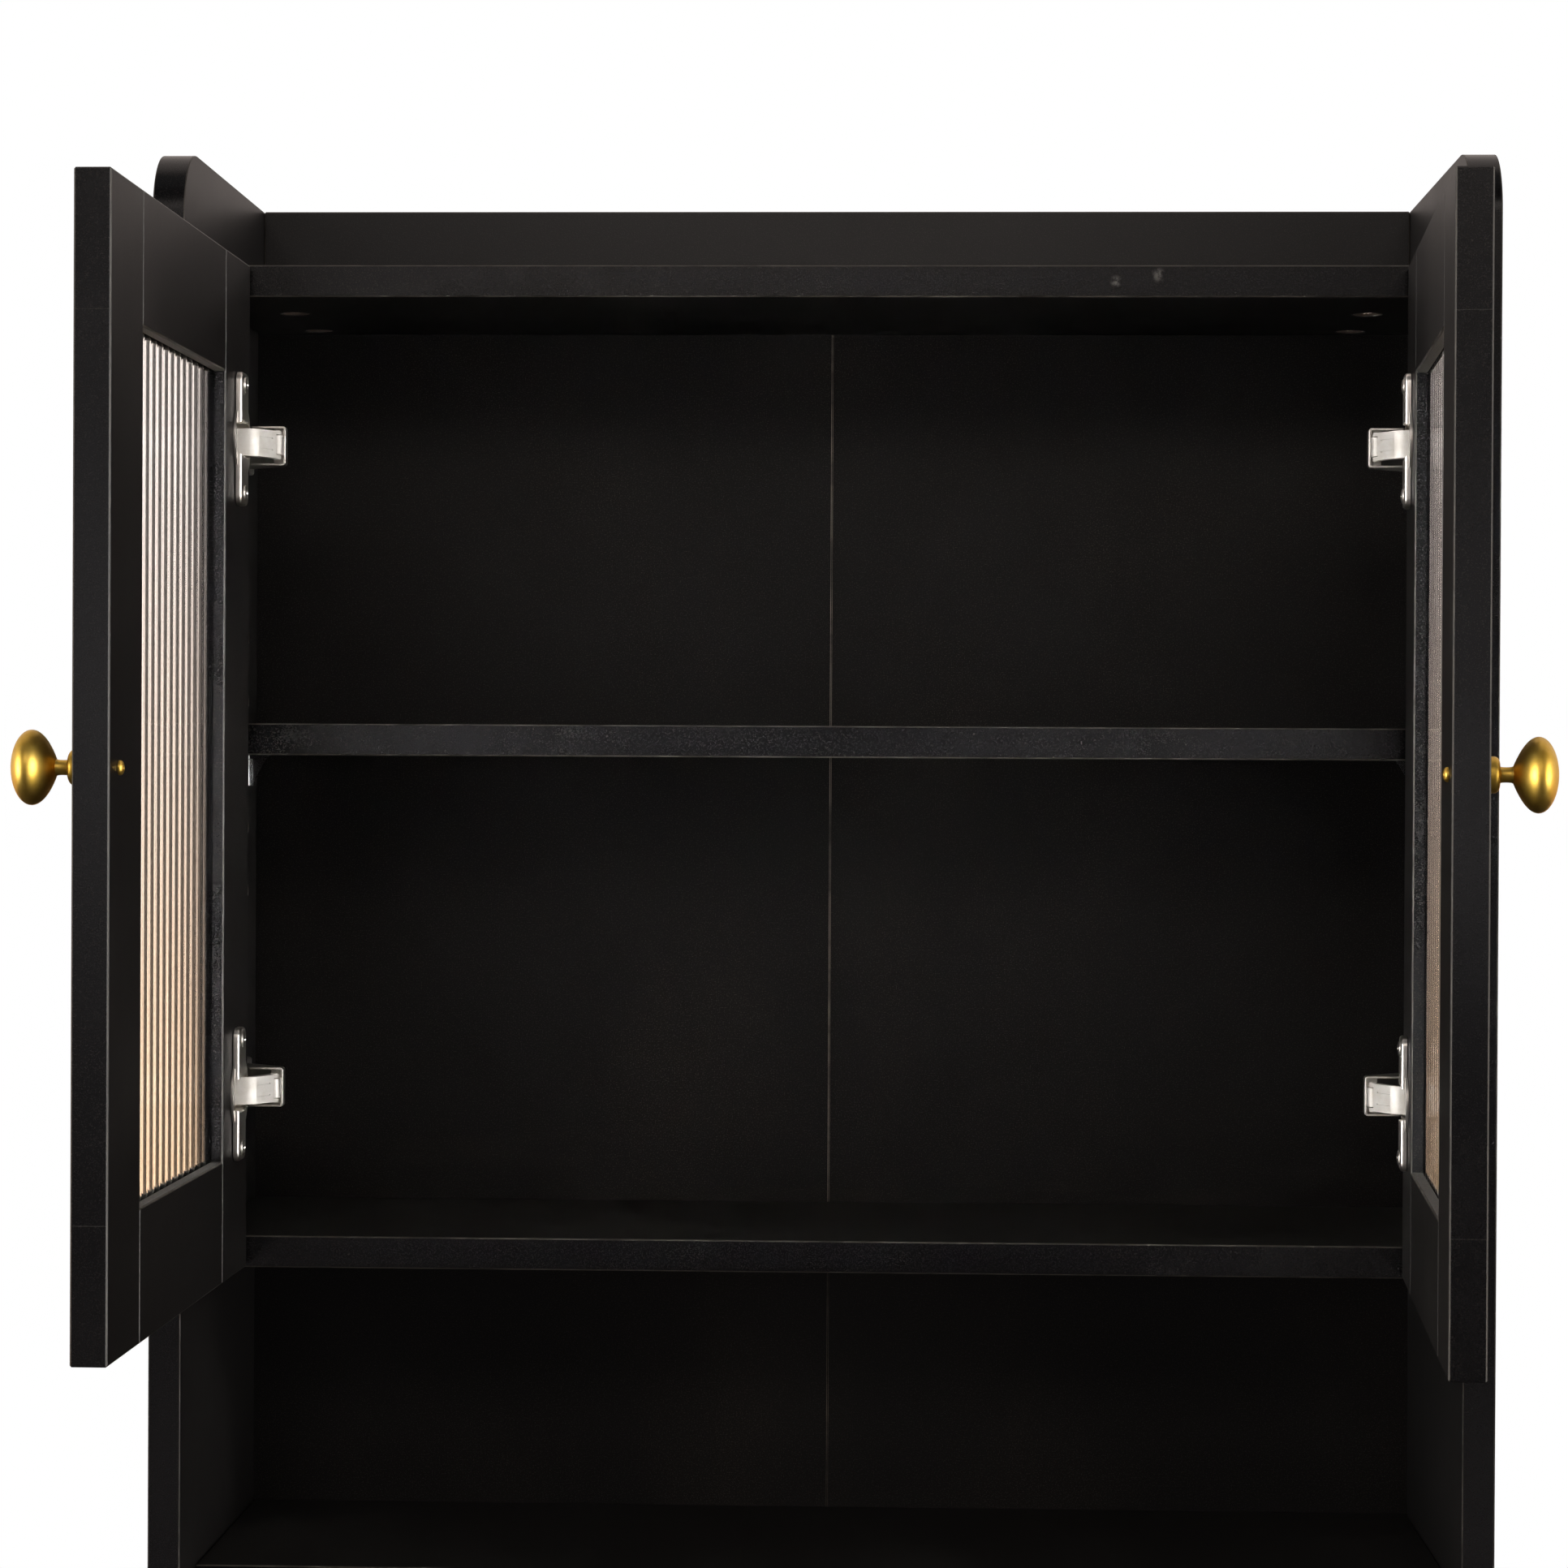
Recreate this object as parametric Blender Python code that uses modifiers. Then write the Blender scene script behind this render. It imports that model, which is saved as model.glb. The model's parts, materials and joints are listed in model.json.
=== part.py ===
"""A narrow kitchen hutch: glazed doors over an open niche, panelled doors below.

Every board is 15 mm thick. The doors are inset between the side panels and close
against the front edges of the shelves, on concealed hinges with one moving link.
Lengths are in metres, angles in degrees. +X is right, -Y is the front, +Z is up,
and the origin is the middle of the plinth's underside.
"""
import math

import bmesh
import bpy
from mathutils import Matrix, Vector

# Carcass
HEIGHT = 1.530
WIDTH = 0.620
SIDE_DEPTH = 0.220
BOARD = 0.015
ARRIS = 0.0007
JOINT_GAP = 0.0003
WELD = 0.00001
SHELF_SETBACK = 0.036
PLINTH_HEIGHT = 0.070
PLINTH_SETBACK = 0.052
NICHE_CLEAR = 0.141
UPPER_CLEAR = 0.443
GALLERY_HEIGHT = 0.050
GALLERY_RADIUS = 0.030
GALLERY_STEPS = 8

# Back panels, held in grooves
BACK_THICK = 0.003
BACK_RECESS = 0.029
GROOVE_DEPTH = 0.005
GROOVE_PLAY = 0.0003
BACK_SEAM = 0.0006
BATTEN_WIDTH = 0.060
BATTEN_THICK = 0.012

# Loose shelf on pegs, and the fixed shelf in the lower cupboard
SHELF_RISE = 0.2270
SHELF_FRONT = 0.042
SHELF_END_GAP = 0.001
LOWER_SHELF_RISE = 0.370
PEG_ROW_FRONT = 0.065
PEG_ROW_FROM_BACK = 0.024
PEG_HOLE = 0.0052
SMALL_ROUND_STEPS = 8
PEG_HOLE_DEPTH = 0.009
PEG_HOLE_PITCH = 0.032
PEG_HOLES_EACH_WAY = 2
PEG_DROP = 0.0045
PEG_PLAY = 0.0002
GUSSET_OUT = 0.010
GUSSET_HEIGHT = 0.0155
GUSSET_WIDTH = 0.007
GUSSET_PLATE = 0.0018

# Holes for the cam fasteners in the underside of each fixed board
CAM_HOLE = 0.0154
CAM_STEPS = 12
CAM_DEPTH = 0.0125
CAM_FROM_SIDE = 0.034
CAM_FRONT = 0.104
CAM_FROM_BACK = 0.015

# Doors
DOOR_THICK = 0.015
DOOR_STOP_GAP = 0.003
DOOR_HINGE_GAP = 0.003
DOOR_MEETING_GAP = 0.002
DOOR_REVEAL = 0.001
STILE = 0.0583
RAIL = 0.0556
GLASS_THICK = 0.004
GLASS_FROM_INSIDE = 0.0055
GLASS_IN_GROOVE = 0.0054
GLASS_PLAY = 0.0003
RIB_PITCH = 0.0123
RIB_RISE = 0.0011
RIB_STEPS = 5
PANEL_THICK = 0.005
PANEL_FROM_INSIDE = 0.004

# Knobs, turned and bolted through the free stile
KNOB_INSET = 0.016
KNOB_BASE_RADIUS = 0.0072
KNOB_BASE_THICK = 0.0045
KNOB_BASE_ROUND = 0.00225
KNOB_EDGE_STEPS = 3
KNOB_STEM_RADIUS = 0.0033
KNOB_WAIST_RADIUS = 0.0030
KNOB_STEM_LENGTH = 0.0052
KNOB_HEAD_RADIUS = 0.015
KNOB_CONE_LENGTH = 0.0099
KNOB_DOME_LENGTH = 0.0077
KNOB_BOLT_RADIUS = 0.002
KNOB_BOLT_HEAD_RADIUS = 0.0030
KNOB_BOLT_HEAD = 0.0021
KNOB_BOLT_ROUND = 0.0012
KNOB_STEPS = 6
KNOB_TURN_STEPS = 16
BOLT_PLAY = 0.0003
SEAT_GAP = 0.0003

# Hinges: cup in the door, arm on the side panel, one cranked link between them
HINGE_FROM_END = 0.084
ROUND_STEPS = 20
CUP_RADIUS = 0.0175
CUP_CENTRE = 0.0225
CUP_DEPTH = 0.0112
CUP_FLOOR = 0.0005
CUP_PLAY = 0.0003
CUP_RIM_RADIUS = 0.0187
CUP_RIM = 0.0010
POCKET_NEAR = 0.0075
POCKET_FAR = 0.0375
POCKET_HALF_WIDTH = 0.0082
WING_HALF_LENGTH = 0.0308
WING_NEAR = 0.0195
WING_FAR = 0.0365
WING_THICK = 0.0025
WING_LIFT = 0.0002
WING_EDGE = 0.0007
PIN_RADIUS = 0.0012
PIN_PLAY = 0.0003
CUP_PIN_FROM_EDGE = 0.01205
CUP_PIN_DEPTH = 0.0046
ARM_PIN_FROM_EDGE = 0.0340
ARM_PIN_BEHIND_DOOR = 0.0018
LINK_ELBOW_SHARE = 0.715
LINK_ELBOW_OUT = 0.0054
LINK_HALF_THICK = 0.0023
ELBOW_STEPS = 4
END_STEPS = 5
LINK_HALF_WIDTH = 0.0064
FORK_PLAY = 0.0004
NOSE_HALF_WIDTH = 0.0044
NOSE_RADIUS = 0.0028
NOSE_STEPS = 8
ARM_START = 0.0028
ARM_HALF_WIDTH = 0.0093
ARM_SHEET = 0.0013
ARM_TOP = 0.0405
ARM_MOUTH_DEPTH = 0.016
ARM_CRANK_START = 0.010
ARM_CRANK_END = 0.032
ARM_TAIL_TOP = 0.0145
ARM_LENGTH = 0.066
MOUNT_PLATE = 0.0022
MOUNT_HALF_HEIGHT = 0.025
MOUNT_START = 0.030
MOUNT_LENGTH = 0.024

# How far the doors stand open at rest, and how the link follows a door
LEFT_DOOR_OPEN = 90.3
RIGHT_DOOR_OPEN = 86.1
LOWER_DOOR_OPEN = 0.0
LINK_PER_DOOR_DEGREE = 0.2912

# Places that follow from the sizes above
FRONT = -(PLINTH_SETBACK + BOARD / 2)
INSIDE = WIDTH / 2 - BOARD
TOP = HEIGHT - GALLERY_HEIGHT
TOP_UNDERSIDE = TOP - BOARD
UPPER_FLOOR_TOP = TOP_UNDERSIDE - UPPER_CLEAR
NICHE_FLOOR_TOP = UPPER_FLOOR_TOP - BOARD - NICHE_CLEAR
BASE_TOP = PLINTH_HEIGHT + BOARD
SHELF_Y = FRONT + SHELF_SETBACK
REAR = FRONT + SIDE_DEPTH
BACK_Y = REAR - BACK_RECESS
PEG_ROWS = (FRONT + PEG_ROW_FRONT, BACK_Y - PEG_ROW_FROM_BACK)
CAM_ROWS = (FRONT + CAM_FRONT, BACK_Y - CAM_FROM_BACK)
DOOR_INNER_Y = SHELF_Y - DOOR_STOP_GAP
DOOR_WIDTH = INSIDE - DOOR_HINGE_GAP - DOOR_MEETING_GAP / 2
GROOVE_TOP = GLASS_FROM_INSIDE + GLASS_THICK

AXES = {"X": Vector((1.0, 0.0, 0.0)), "Y": Vector((0.0, 1.0, 0.0)), "Z": Vector((0.0, 0.0, 1.0))}

BLACK = ("black laminate", (0.013, 0.012, 0.013), 0.45, 0.0)
BACK_BLACK = ("back board", (0.012, 0.010, 0.009), 0.6, 0.0)
GLASS = ("fluted glass", (0.80, 0.82, 0.82), 0.1, 0.0)
BRASS = ("satin brass", (0.62, 0.36, 0.07), 0.3, 1.0)
NICKEL = ("nickel-plated steel", (0.66, 0.62, 0.56), 0.25, 1.0)
CLEAR = ("clear plastic", (0.75, 0.78, 0.80), 0.2, 0.0)


def empty_scene():
    """Removes what the file starts with and makes the two collections."""
    for thing in list(bpy.data.objects):
        bpy.data.objects.remove(thing, do_unlink=True)
    made = []
    for name in ("kitchen_hutch", "cutters"):
        made.append(bpy.data.collections.new(name))
        bpy.context.scene.collection.children.link(made[-1])
    return made


def finish_material(finish):
    """Returns the Principled material for one of the finishes above."""
    name, colour, roughness, metallic = finish
    found = bpy.data.materials.get(name)
    if found:
        return found
    material = bpy.data.materials.new(name)
    material.use_nodes = True
    shader = material.node_tree.nodes["Principled BSDF"]
    shader.inputs["Base Color"].default_value = (*colour, 1.0)
    shader.inputs["Roughness"].default_value = roughness
    shader.inputs["Metallic"].default_value = metallic
    return material


def new_part(name, form, finish, parent=None):
    """Makes a named sub-part from a bmesh."""
    mesh = bpy.data.meshes.new(name)
    form.to_mesh(mesh)
    form.free()
    part = bpy.data.objects.new(name, mesh)
    HUTCH.objects.link(part)
    mesh.materials.append(finish_material(finish))
    part.parent = parent
    return part


def new_cutter(name, form, parent=None):
    """Makes a hidden cutting shape from a bmesh."""
    mesh = bpy.data.meshes.new(name)
    form.to_mesh(mesh)
    form.free()
    cutter = bpy.data.objects.new(name, mesh)
    CUTTERS.objects.link(cutter)
    cutter.parent = parent
    cutter.hide_render = True
    cutter.display_type = "WIRE"
    return cutter


def add_block(form, x, y, z):
    """Adds a box between pairs of limits, given in either order."""
    size = [abs(pair[1] - pair[0]) for pair in (x, y, z)]
    middle = [(pair[0] + pair[1]) / 2 for pair in (x, y, z)]
    place = Matrix.Translation(middle) @ Matrix.Diagonal((*size, 1.0))
    bmesh.ops.create_cube(form, size=1.0, matrix=place)


def add_rod(form, centre, radius, length, axis, steps):
    """Adds a cylinder about a centre, lying along a named axis."""
    turn = Vector((0.0, 0.0, 1.0)).rotation_difference(AXES[axis]).to_matrix().to_4x4()
    bmesh.ops.create_cone(form, cap_ends=True, segments=steps, radius1=radius, radius2=radius,
                          depth=length, matrix=Matrix.Translation(centre) @ turn)


def block(x, y, z):
    form = bmesh.new()
    add_block(form, x, y, z)
    return form


def rod(centre, radius, length, axis, steps):
    form = bmesh.new()
    add_rod(form, centre, radius, length, axis, steps)
    return form


def prism(outline, low, high):
    """Extrudes a flat outline in XY from one height to another, and welds its caps on."""
    curve = bpy.data.curves.new("outline", "CURVE")
    curve.dimensions = "2D"
    curve.fill_mode = "BOTH"
    curve.extrude = (high - low) / 2
    spline = curve.splines.new("POLY")
    spline.points.add(len(outline) - 1)
    for point, (x, y) in zip(spline.points, outline):
        point.co = (x, y, 0.0, 1.0)
    spline.use_cyclic_u = True
    guide = bpy.data.objects.new("outline", curve)
    HUTCH.objects.link(guide)
    ready = guide.evaluated_get(bpy.context.evaluated_depsgraph_get())
    mesh = bpy.data.meshes.new_from_object(ready)
    form = bmesh.new()
    form.from_mesh(mesh)
    bpy.data.meshes.remove(mesh)
    bpy.data.objects.remove(guide)
    bmesh.ops.remove_doubles(form, verts=form.verts, dist=WELD)
    bmesh.ops.translate(form, verts=form.verts, vec=(0.0, 0.0, (low + high) / 2))
    bmesh.ops.recalc_face_normals(form, faces=form.faces)
    return form


def combine(part, cutter, operation="DIFFERENCE"):
    """Cuts one shape from a part, or joins it on, with an exact Boolean."""
    change = part.modifiers.new(operation.title(), "BOOLEAN")
    change.operation = operation
    change.object = cutter
    change.solver = "EXACT"


def soften(part, width=ARRIS):
    """Breaks the sharp edges of a board or a fitting."""
    bevel = part.modifiers.new("Arris", "BEVEL")
    bevel.width = width
    bevel.segments = 1
    bevel.limit_method = "ANGLE"


def pivot(name, place, degrees, parent=None):
    """Puts an empty on a joint's upright axis and turns it to its rest angle."""
    axis = bpy.data.objects.new(name, None)
    axis.empty_display_size = 0.02
    HUTCH.objects.link(axis)
    axis.parent = parent
    axis.location = (*place, 0.0)
    axis.rotation_euler = (0.0, 0.0, math.radians(degrees))
    return axis


def board(name, x, y, z, finish=BLACK, parent=None):
    part = new_part(name, block(x, y, z), finish, parent)
    soften(part)
    return part


def side_panel(name, hand):
    """A side panel with its rounded gallery corner, back groove and peg holes."""
    inner, outer = hand * INSIDE, hand * WIDTH / 2
    form = block((inner, outer), (FRONT, REAR), (0.0, HEIGHT))
    corner = [edge for edge in form.edges
              if all(v.co.y < FRONT + ARRIS and v.co.z > HEIGHT - ARRIS for v in edge.verts)]
    bmesh.ops.bevel(form, geom=corner, offset=GALLERY_RADIUS, offset_type="OFFSET", affect="EDGES",
                    segments=GALLERY_STEPS, profile=0.5, material=-1, clamp_overlap=True)
    panel = new_part(name, form, BLACK)
    soften(panel)

    cuts = bmesh.new()
    over = hand * ARRIS
    add_block(cuts, (inner - over, inner + hand * GROOVE_DEPTH),
              (BACK_Y - GROOVE_PLAY, BACK_Y + BACK_THICK + GROOVE_PLAY),
              (BASE_TOP - GROOVE_DEPTH, TOP_UNDERSIDE + GROOVE_DEPTH))
    peg_z = UPPER_FLOOR_TOP + SHELF_RISE - PEG_DROP
    middle = inner + hand * (PEG_HOLE_DEPTH - ARRIS) / 2
    for y in PEG_ROWS:
        for step in range(-PEG_HOLES_EACH_WAY, PEG_HOLES_EACH_WAY + 1):
            centre = (middle, y, peg_z + step * PEG_HOLE_PITCH)
            add_rod(cuts, centre, PEG_HOLE / 2, PEG_HOLE_DEPTH + ARRIS, "X", SMALL_ROUND_STEPS)
    combine(panel, new_cutter(name + "_cuts", cuts))


def fixed_board(name, top, back):
    """A shelf fixed between the sides, with cam holes drilled up into it."""
    end = INSIDE - JOINT_GAP
    shelf = board(name, (-end, end), (SHELF_Y, back), (top - BOARD, top))
    holes = bmesh.new()
    for x in (-(INSIDE - CAM_FROM_SIDE), INSIDE - CAM_FROM_SIDE):
        for y in CAM_ROWS:
            centre = (x, y, top - BOARD + (CAM_DEPTH - ARRIS) / 2)
            add_rod(holes, centre, CAM_HOLE / 2, CAM_DEPTH + ARRIS, "Z", CAM_STEPS)
    combine(shelf, new_cutter(name + "_cam_holes", holes))
    return shelf


def back_groove(part, z):
    """Cuts a full-width groove for the back panels into the top or the base board."""
    groove = block((-INSIDE, INSIDE), (BACK_Y - GROOVE_PLAY, BACK_Y + BACK_THICK + GROOVE_PLAY), z)
    combine(part, new_cutter(part.name + "_groove", groove))


def carcass():
    """The sides, the fixed boards, the loose shelf, the two back panels and their batten."""
    side_panel("side_left", -1)
    side_panel("side_right", 1)
    shelf_back = BACK_Y - JOINT_GAP
    top_board = fixed_board("top_board", TOP, REAR)
    back_groove(top_board, (TOP_UNDERSIDE - ARRIS, TOP_UNDERSIDE + GROOVE_DEPTH))
    fixed_board("upper_floor", UPPER_FLOOR_TOP, shelf_back)
    fixed_board("niche_floor", NICHE_FLOOR_TOP, shelf_back)
    fixed_board("lower_shelf", BASE_TOP + LOWER_SHELF_RISE + BOARD, shelf_back)
    base_board = fixed_board("base_board", BASE_TOP, REAR)
    back_groove(base_board, (BASE_TOP - GROOVE_DEPTH, BASE_TOP + ARRIS))

    end = INSIDE - JOINT_GAP
    board("plinth", (-end, end), (FRONT + PLINTH_SETBACK, FRONT + PLINTH_SETBACK + BOARD),
          (0.0, PLINTH_HEIGHT - JOINT_GAP))
    board("gallery_rail", (-end, end), (REAR - BOARD, REAR), (TOP + JOINT_GAP, HEIGHT))

    loose_end = INSIDE - SHELF_END_GAP
    shelf_z = UPPER_FLOOR_TOP + SHELF_RISE
    board("upper_shelf", (-loose_end, loose_end), (FRONT + SHELF_FRONT, shelf_back),
          (shelf_z, shelf_z + BOARD))

    play = GROOVE_DEPTH - GROOVE_PLAY
    panel_z = (BASE_TOP - play, TOP_UNDERSIDE + play)
    for name, hand in (("back_left", -1), ("back_right", 1)):
        panel_x = (hand * BACK_SEAM / 2, hand * (INSIDE + play))
        new_part(name, block(panel_x, (BACK_Y, BACK_Y + BACK_THICK), panel_z), BACK_BLACK)
    behind = BACK_Y + BACK_THICK + JOINT_GAP
    board("back_batten", (-BATTEN_WIDTH / 2, BATTEN_WIDTH / 2), (behind, behind + BATTEN_THICK),
          (BASE_TOP + JOINT_GAP, TOP_UNDERSIDE - JOINT_GAP))


def shelf_peg(name, hand, y):
    """A clear peg with a triangular gusset, pushed into its hole under the shelf."""
    inner = hand * INSIDE
    face = inner - hand * PEG_PLAY
    top = UPPER_FLOOR_TOP + SHELF_RISE - PEG_PLAY
    nose, plate = face - hand * GUSSET_OUT, face - hand * GUSSET_PLATE
    outline = [(face, top), (nose, top), (nose, top - GUSSET_PLATE),
               (plate, top - GUSSET_HEIGHT), (face, top - GUSSET_HEIGHT)]
    gusset = prism(outline, -GUSSET_WIDTH / 2, GUSSET_WIDTH / 2)
    stand = Matrix.Translation((0.0, y, 0.0)) @ Matrix.Rotation(math.pi / 2, 4, "X")
    bmesh.ops.transform(gusset, matrix=stand, verts=gusset.verts)
    support = new_part(name, gusset, CLEAR)
    reach = PEG_HOLE_DEPTH - PEG_PLAY
    centre = (inner + hand * (reach - GUSSET_PLATE) / 2, y, UPPER_FLOOR_TOP + SHELF_RISE - PEG_DROP)
    peg = rod(centre, PEG_HOLE / 2 - PEG_PLAY, reach + GUSSET_PLATE, "X", SMALL_ROUND_STEPS)
    combine(support, new_cutter(name + "_peg", peg), "UNION")


class DoorFrame:
    """The place of one door: its hinge side, its height, and the pivots it turns on.

    Points on the door are given by their distance from the hinge edge and their
    depth into the door from its inner face, both measured with the door closed.
    """

    def __init__(self, name, hand, bottom, top, degrees):
        self.name, self.hand, self.bottom, self.top = name, hand, bottom, top
        self.arm_axis = self.closed(ARM_PIN_FROM_EDGE, -ARM_PIN_BEHIND_DOOR)
        self.cup_axis = self.closed(CUP_PIN_FROM_EDGE, CUP_PIN_DEPTH)
        link_turn = -hand * LINK_PER_DOOR_DEGREE * degrees
        self.link_pivot = pivot(name + "_link_axis", self.arm_axis, link_turn)
        reach = self.cup_axis - self.arm_axis
        self.door_pivot = pivot(name + "_door_axis", reach, hand * degrees - link_turn, self.link_pivot)

    def closed(self, from_edge, depth):
        edge = self.hand * (INSIDE - DOOR_HINGE_GAP)
        return Vector((edge - self.hand * from_edge, DOOR_INNER_Y - depth))

    def on_door(self, from_edge, depth):
        return self.closed(from_edge, depth) - self.cup_axis

    def on_link(self, from_edge, depth):
        return self.closed(from_edge, depth) - self.arm_axis

    def span(self, edges, depths):
        """Limits in X and Y on the door for a range of distances and depths."""
        first, last = self.on_door(edges[0], depths[0]), self.on_door(edges[1], depths[1])
        return (first.x, last.x), (first.y, last.y)

    def board(self, name, edges, depths, z, finish=BLACK):
        return board(f"{self.name}_{name}", *self.span(edges, depths), z, finish, self.door_pivot)

    def cutter(self, name, form):
        return new_cutter(f"{self.name}_{name}", form, self.door_pivot)

    def hinge_heights(self):
        return (self.top - HINGE_FROM_END, self.bottom + HINGE_FROM_END)


def fluted_outline(half_width, ribs):
    """Cross-section of the pane: flat outside, a row of rounded ribs inside."""
    pitch = 2 * half_width / ribs
    outline = [(half_width, 0.0), (-half_width, 0.0)]
    valley = GLASS_THICK - RIB_RISE
    for rib in range(ribs):
        for step in range(RIB_STEPS):
            share = step / RIB_STEPS
            rise = RIB_RISE * math.sin(math.pi * share)
            outline.append((-half_width + (rib + share) * pitch, valley + rise))
    outline.append((half_width, valley))
    return outline


def glazed_door(door):
    """A frame of two stiles and two rails grooved round a fluted pane, and its knob."""
    z = (door.bottom, door.top)
    depths = (0.0, DOOR_THICK)
    free = DOOR_WIDTH - STILE
    hinge_stile = door.board("hinge_stile", (0.0, STILE), depths, z)
    free_stile = door.board("free_stile", (free, DOOR_WIDTH), depths, z)
    rail_ends = (STILE + JOINT_GAP, free - JOINT_GAP)
    top_rail = door.board("top_rail", rail_ends, depths, (door.top - RAIL, door.top))
    bottom_rail = door.board("bottom_rail", rail_ends, depths, (door.bottom, door.bottom + RAIL))

    into = GLASS_IN_GROOVE + GLASS_PLAY
    groove_x, groove_y = door.span((STILE - into, free + into),
                                   (GLASS_FROM_INSIDE - GLASS_PLAY, GROOVE_TOP + GLASS_PLAY))
    groove_z = (door.bottom + RAIL - into, door.top - RAIL + into)
    groove = door.cutter("groove", block(groove_x, groove_y, groove_z))
    for part in (hinge_stile, free_stile, top_rail, bottom_rail):
        combine(part, groove)

    half = (free - STILE) / 2 + GLASS_IN_GROOVE
    ribs = round(2 * half / RIB_PITCH)
    middle = door.on_door((STILE + free) / 2, GROOVE_TOP)
    outline = [(middle.x + x, middle.y + y) for x, y in fluted_outline(half, ribs)]
    low, high = door.bottom + RAIL - GLASS_IN_GROOVE, door.top - RAIL + GLASS_IN_GROOVE
    new_part(door.name + "_glass", prism(outline, low, high), GLASS, door.door_pivot)
    cup_holes(door, hinge_stile)
    knob(door, free_stile)


def panelled_door(door):
    """A door with a flat panel held in a groove round its frame, and its knob."""
    z = (door.bottom, door.top)
    frame = door.board("frame", (0.0, DOOR_WIDTH), (0.0, DOOR_THICK), z)
    free = DOOR_WIDTH - STILE
    inside_z = (door.bottom + RAIL, door.top - RAIL)
    window_x, window_y = door.span((STILE, free), (-ARRIS, DOOR_THICK + ARRIS))
    combine(frame, door.cutter("window", block(window_x, window_y, inside_z)))
    into = GLASS_IN_GROOVE + GLASS_PLAY
    panel_depths = (PANEL_FROM_INSIDE, PANEL_FROM_INSIDE + PANEL_THICK)
    groove_x, groove_y = door.span((STILE - into, free + into),
                                   (panel_depths[0] - GLASS_PLAY, panel_depths[1] + GLASS_PLAY))
    groove_z = (inside_z[0] - into, inside_z[1] + into)
    combine(frame, door.cutter("groove", block(groove_x, groove_y, groove_z)))
    panel_x, panel_y = door.span((STILE - GLASS_IN_GROOVE, free + GLASS_IN_GROOVE), panel_depths)
    panel_z = (inside_z[0] - GLASS_IN_GROOVE, inside_z[1] + GLASS_IN_GROOVE)
    new_part(door.name + "_panel", block(panel_x, panel_y, panel_z), BLACK, door.door_pivot)
    cup_holes(door, frame)
    knob(door, frame)


def knob_profile():
    """Radius and height of the turned knob from its tip down to the bolt's head inside."""
    widest = KNOB_BASE_THICK + KNOB_STEM_LENGTH + KNOB_CONE_LENGTH
    points = []
    for step in range(KNOB_STEPS):
        angle = math.pi / 2 * step / KNOB_STEPS
        points.append((KNOB_HEAD_RADIUS * math.sin(angle), widest + KNOB_DOME_LENGTH * math.cos(angle)))
    for step in range(KNOB_STEPS + 1):
        share = step / KNOB_STEPS
        swell = (KNOB_HEAD_RADIUS - KNOB_STEM_RADIUS) * (1 - share ** 2)
        points.append((KNOB_STEM_RADIUS + swell, widest - share * KNOB_CONE_LENGTH))
    points.append((KNOB_WAIST_RADIUS, KNOB_BASE_THICK + KNOB_STEM_LENGTH / 2))
    points.append((KNOB_STEM_RADIUS, KNOB_BASE_THICK))
    for step in range(KNOB_EDGE_STEPS + 1):
        angle = math.pi / 2 * step / KNOB_EDGE_STEPS
        points.append((KNOB_BASE_RADIUS - KNOB_BASE_ROUND * (1 - math.sin(angle)),
                       KNOB_BASE_THICK - KNOB_BASE_ROUND * (1 - math.cos(angle))))
    points.append((KNOB_BASE_RADIUS, SEAT_GAP))
    points.append((KNOB_BOLT_RADIUS, SEAT_GAP))
    inner = -DOOR_THICK - SEAT_GAP
    points.append((KNOB_BOLT_RADIUS, inner))
    points.append((KNOB_BOLT_HEAD_RADIUS, inner))
    end = inner - KNOB_BOLT_HEAD
    points.append((KNOB_BOLT_HEAD_RADIUS, end + KNOB_BOLT_ROUND))
    points.append((KNOB_BOLT_HEAD_RADIUS - KNOB_BOLT_ROUND, end))
    points.append((0.0, end))
    return points


def knob(door, stile):
    """Turns the knob's profile about its axis and bolts it through the free stile."""
    form = bmesh.new()
    ring = [form.verts.new((radius, 0.0, height)) for radius, height in knob_profile()]
    for upper, lower in zip(ring, ring[1:]):
        form.edges.new((upper, lower))
    part = new_part(door.name + "_knob", form, BRASS, door.door_pivot)
    turn = part.modifiers.new("Turned", "SCREW")
    turn.steps = turn.render_steps = KNOB_TURN_STEPS
    turn.use_merge_vertices = True
    turn.merge_threshold = WELD
    turn.use_smooth_shade = True
    centre = door.on_door(DOOR_WIDTH - KNOB_INSET, DOOR_THICK)
    height = (door.bottom + door.top) / 2
    part.location = (centre.x, centre.y, height)
    part.rotation_euler = (math.pi / 2, 0.0, 0.0)
    hole = door.on_door(DOOR_WIDTH - KNOB_INSET, DOOR_THICK / 2)
    bore = rod((hole.x, hole.y, height), KNOB_BOLT_RADIUS + BOLT_PLAY, DOOR_THICK + 2 * ARRIS,
               "Y", SMALL_ROUND_STEPS)
    combine(stile, door.cutter("knob_hole", bore))


def cup_holes(door, stile):
    """Bores the two blind holes for the hinge cups into the back of the door."""
    holes = bmesh.new()
    depth = CUP_DEPTH + CUP_PLAY
    centre = door.on_door(CUP_CENTRE, (depth - ARRIS) / 2)
    for z in door.hinge_heights():
        add_rod(holes, (centre.x, centre.y, z), CUP_RADIUS + CUP_PLAY, depth + ARRIS, "Y", ROUND_STEPS)
    combine(stile, door.cutter("cup_holes", holes))


def arc(centre, radius, first, last, steps):
    """Points along an arc, with both its ends."""
    angles = [first + (last - first) * step / steps for step in range(steps + 1)]
    return [centre + radius * Vector((math.cos(angle), math.sin(angle))) for angle in angles]


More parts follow.
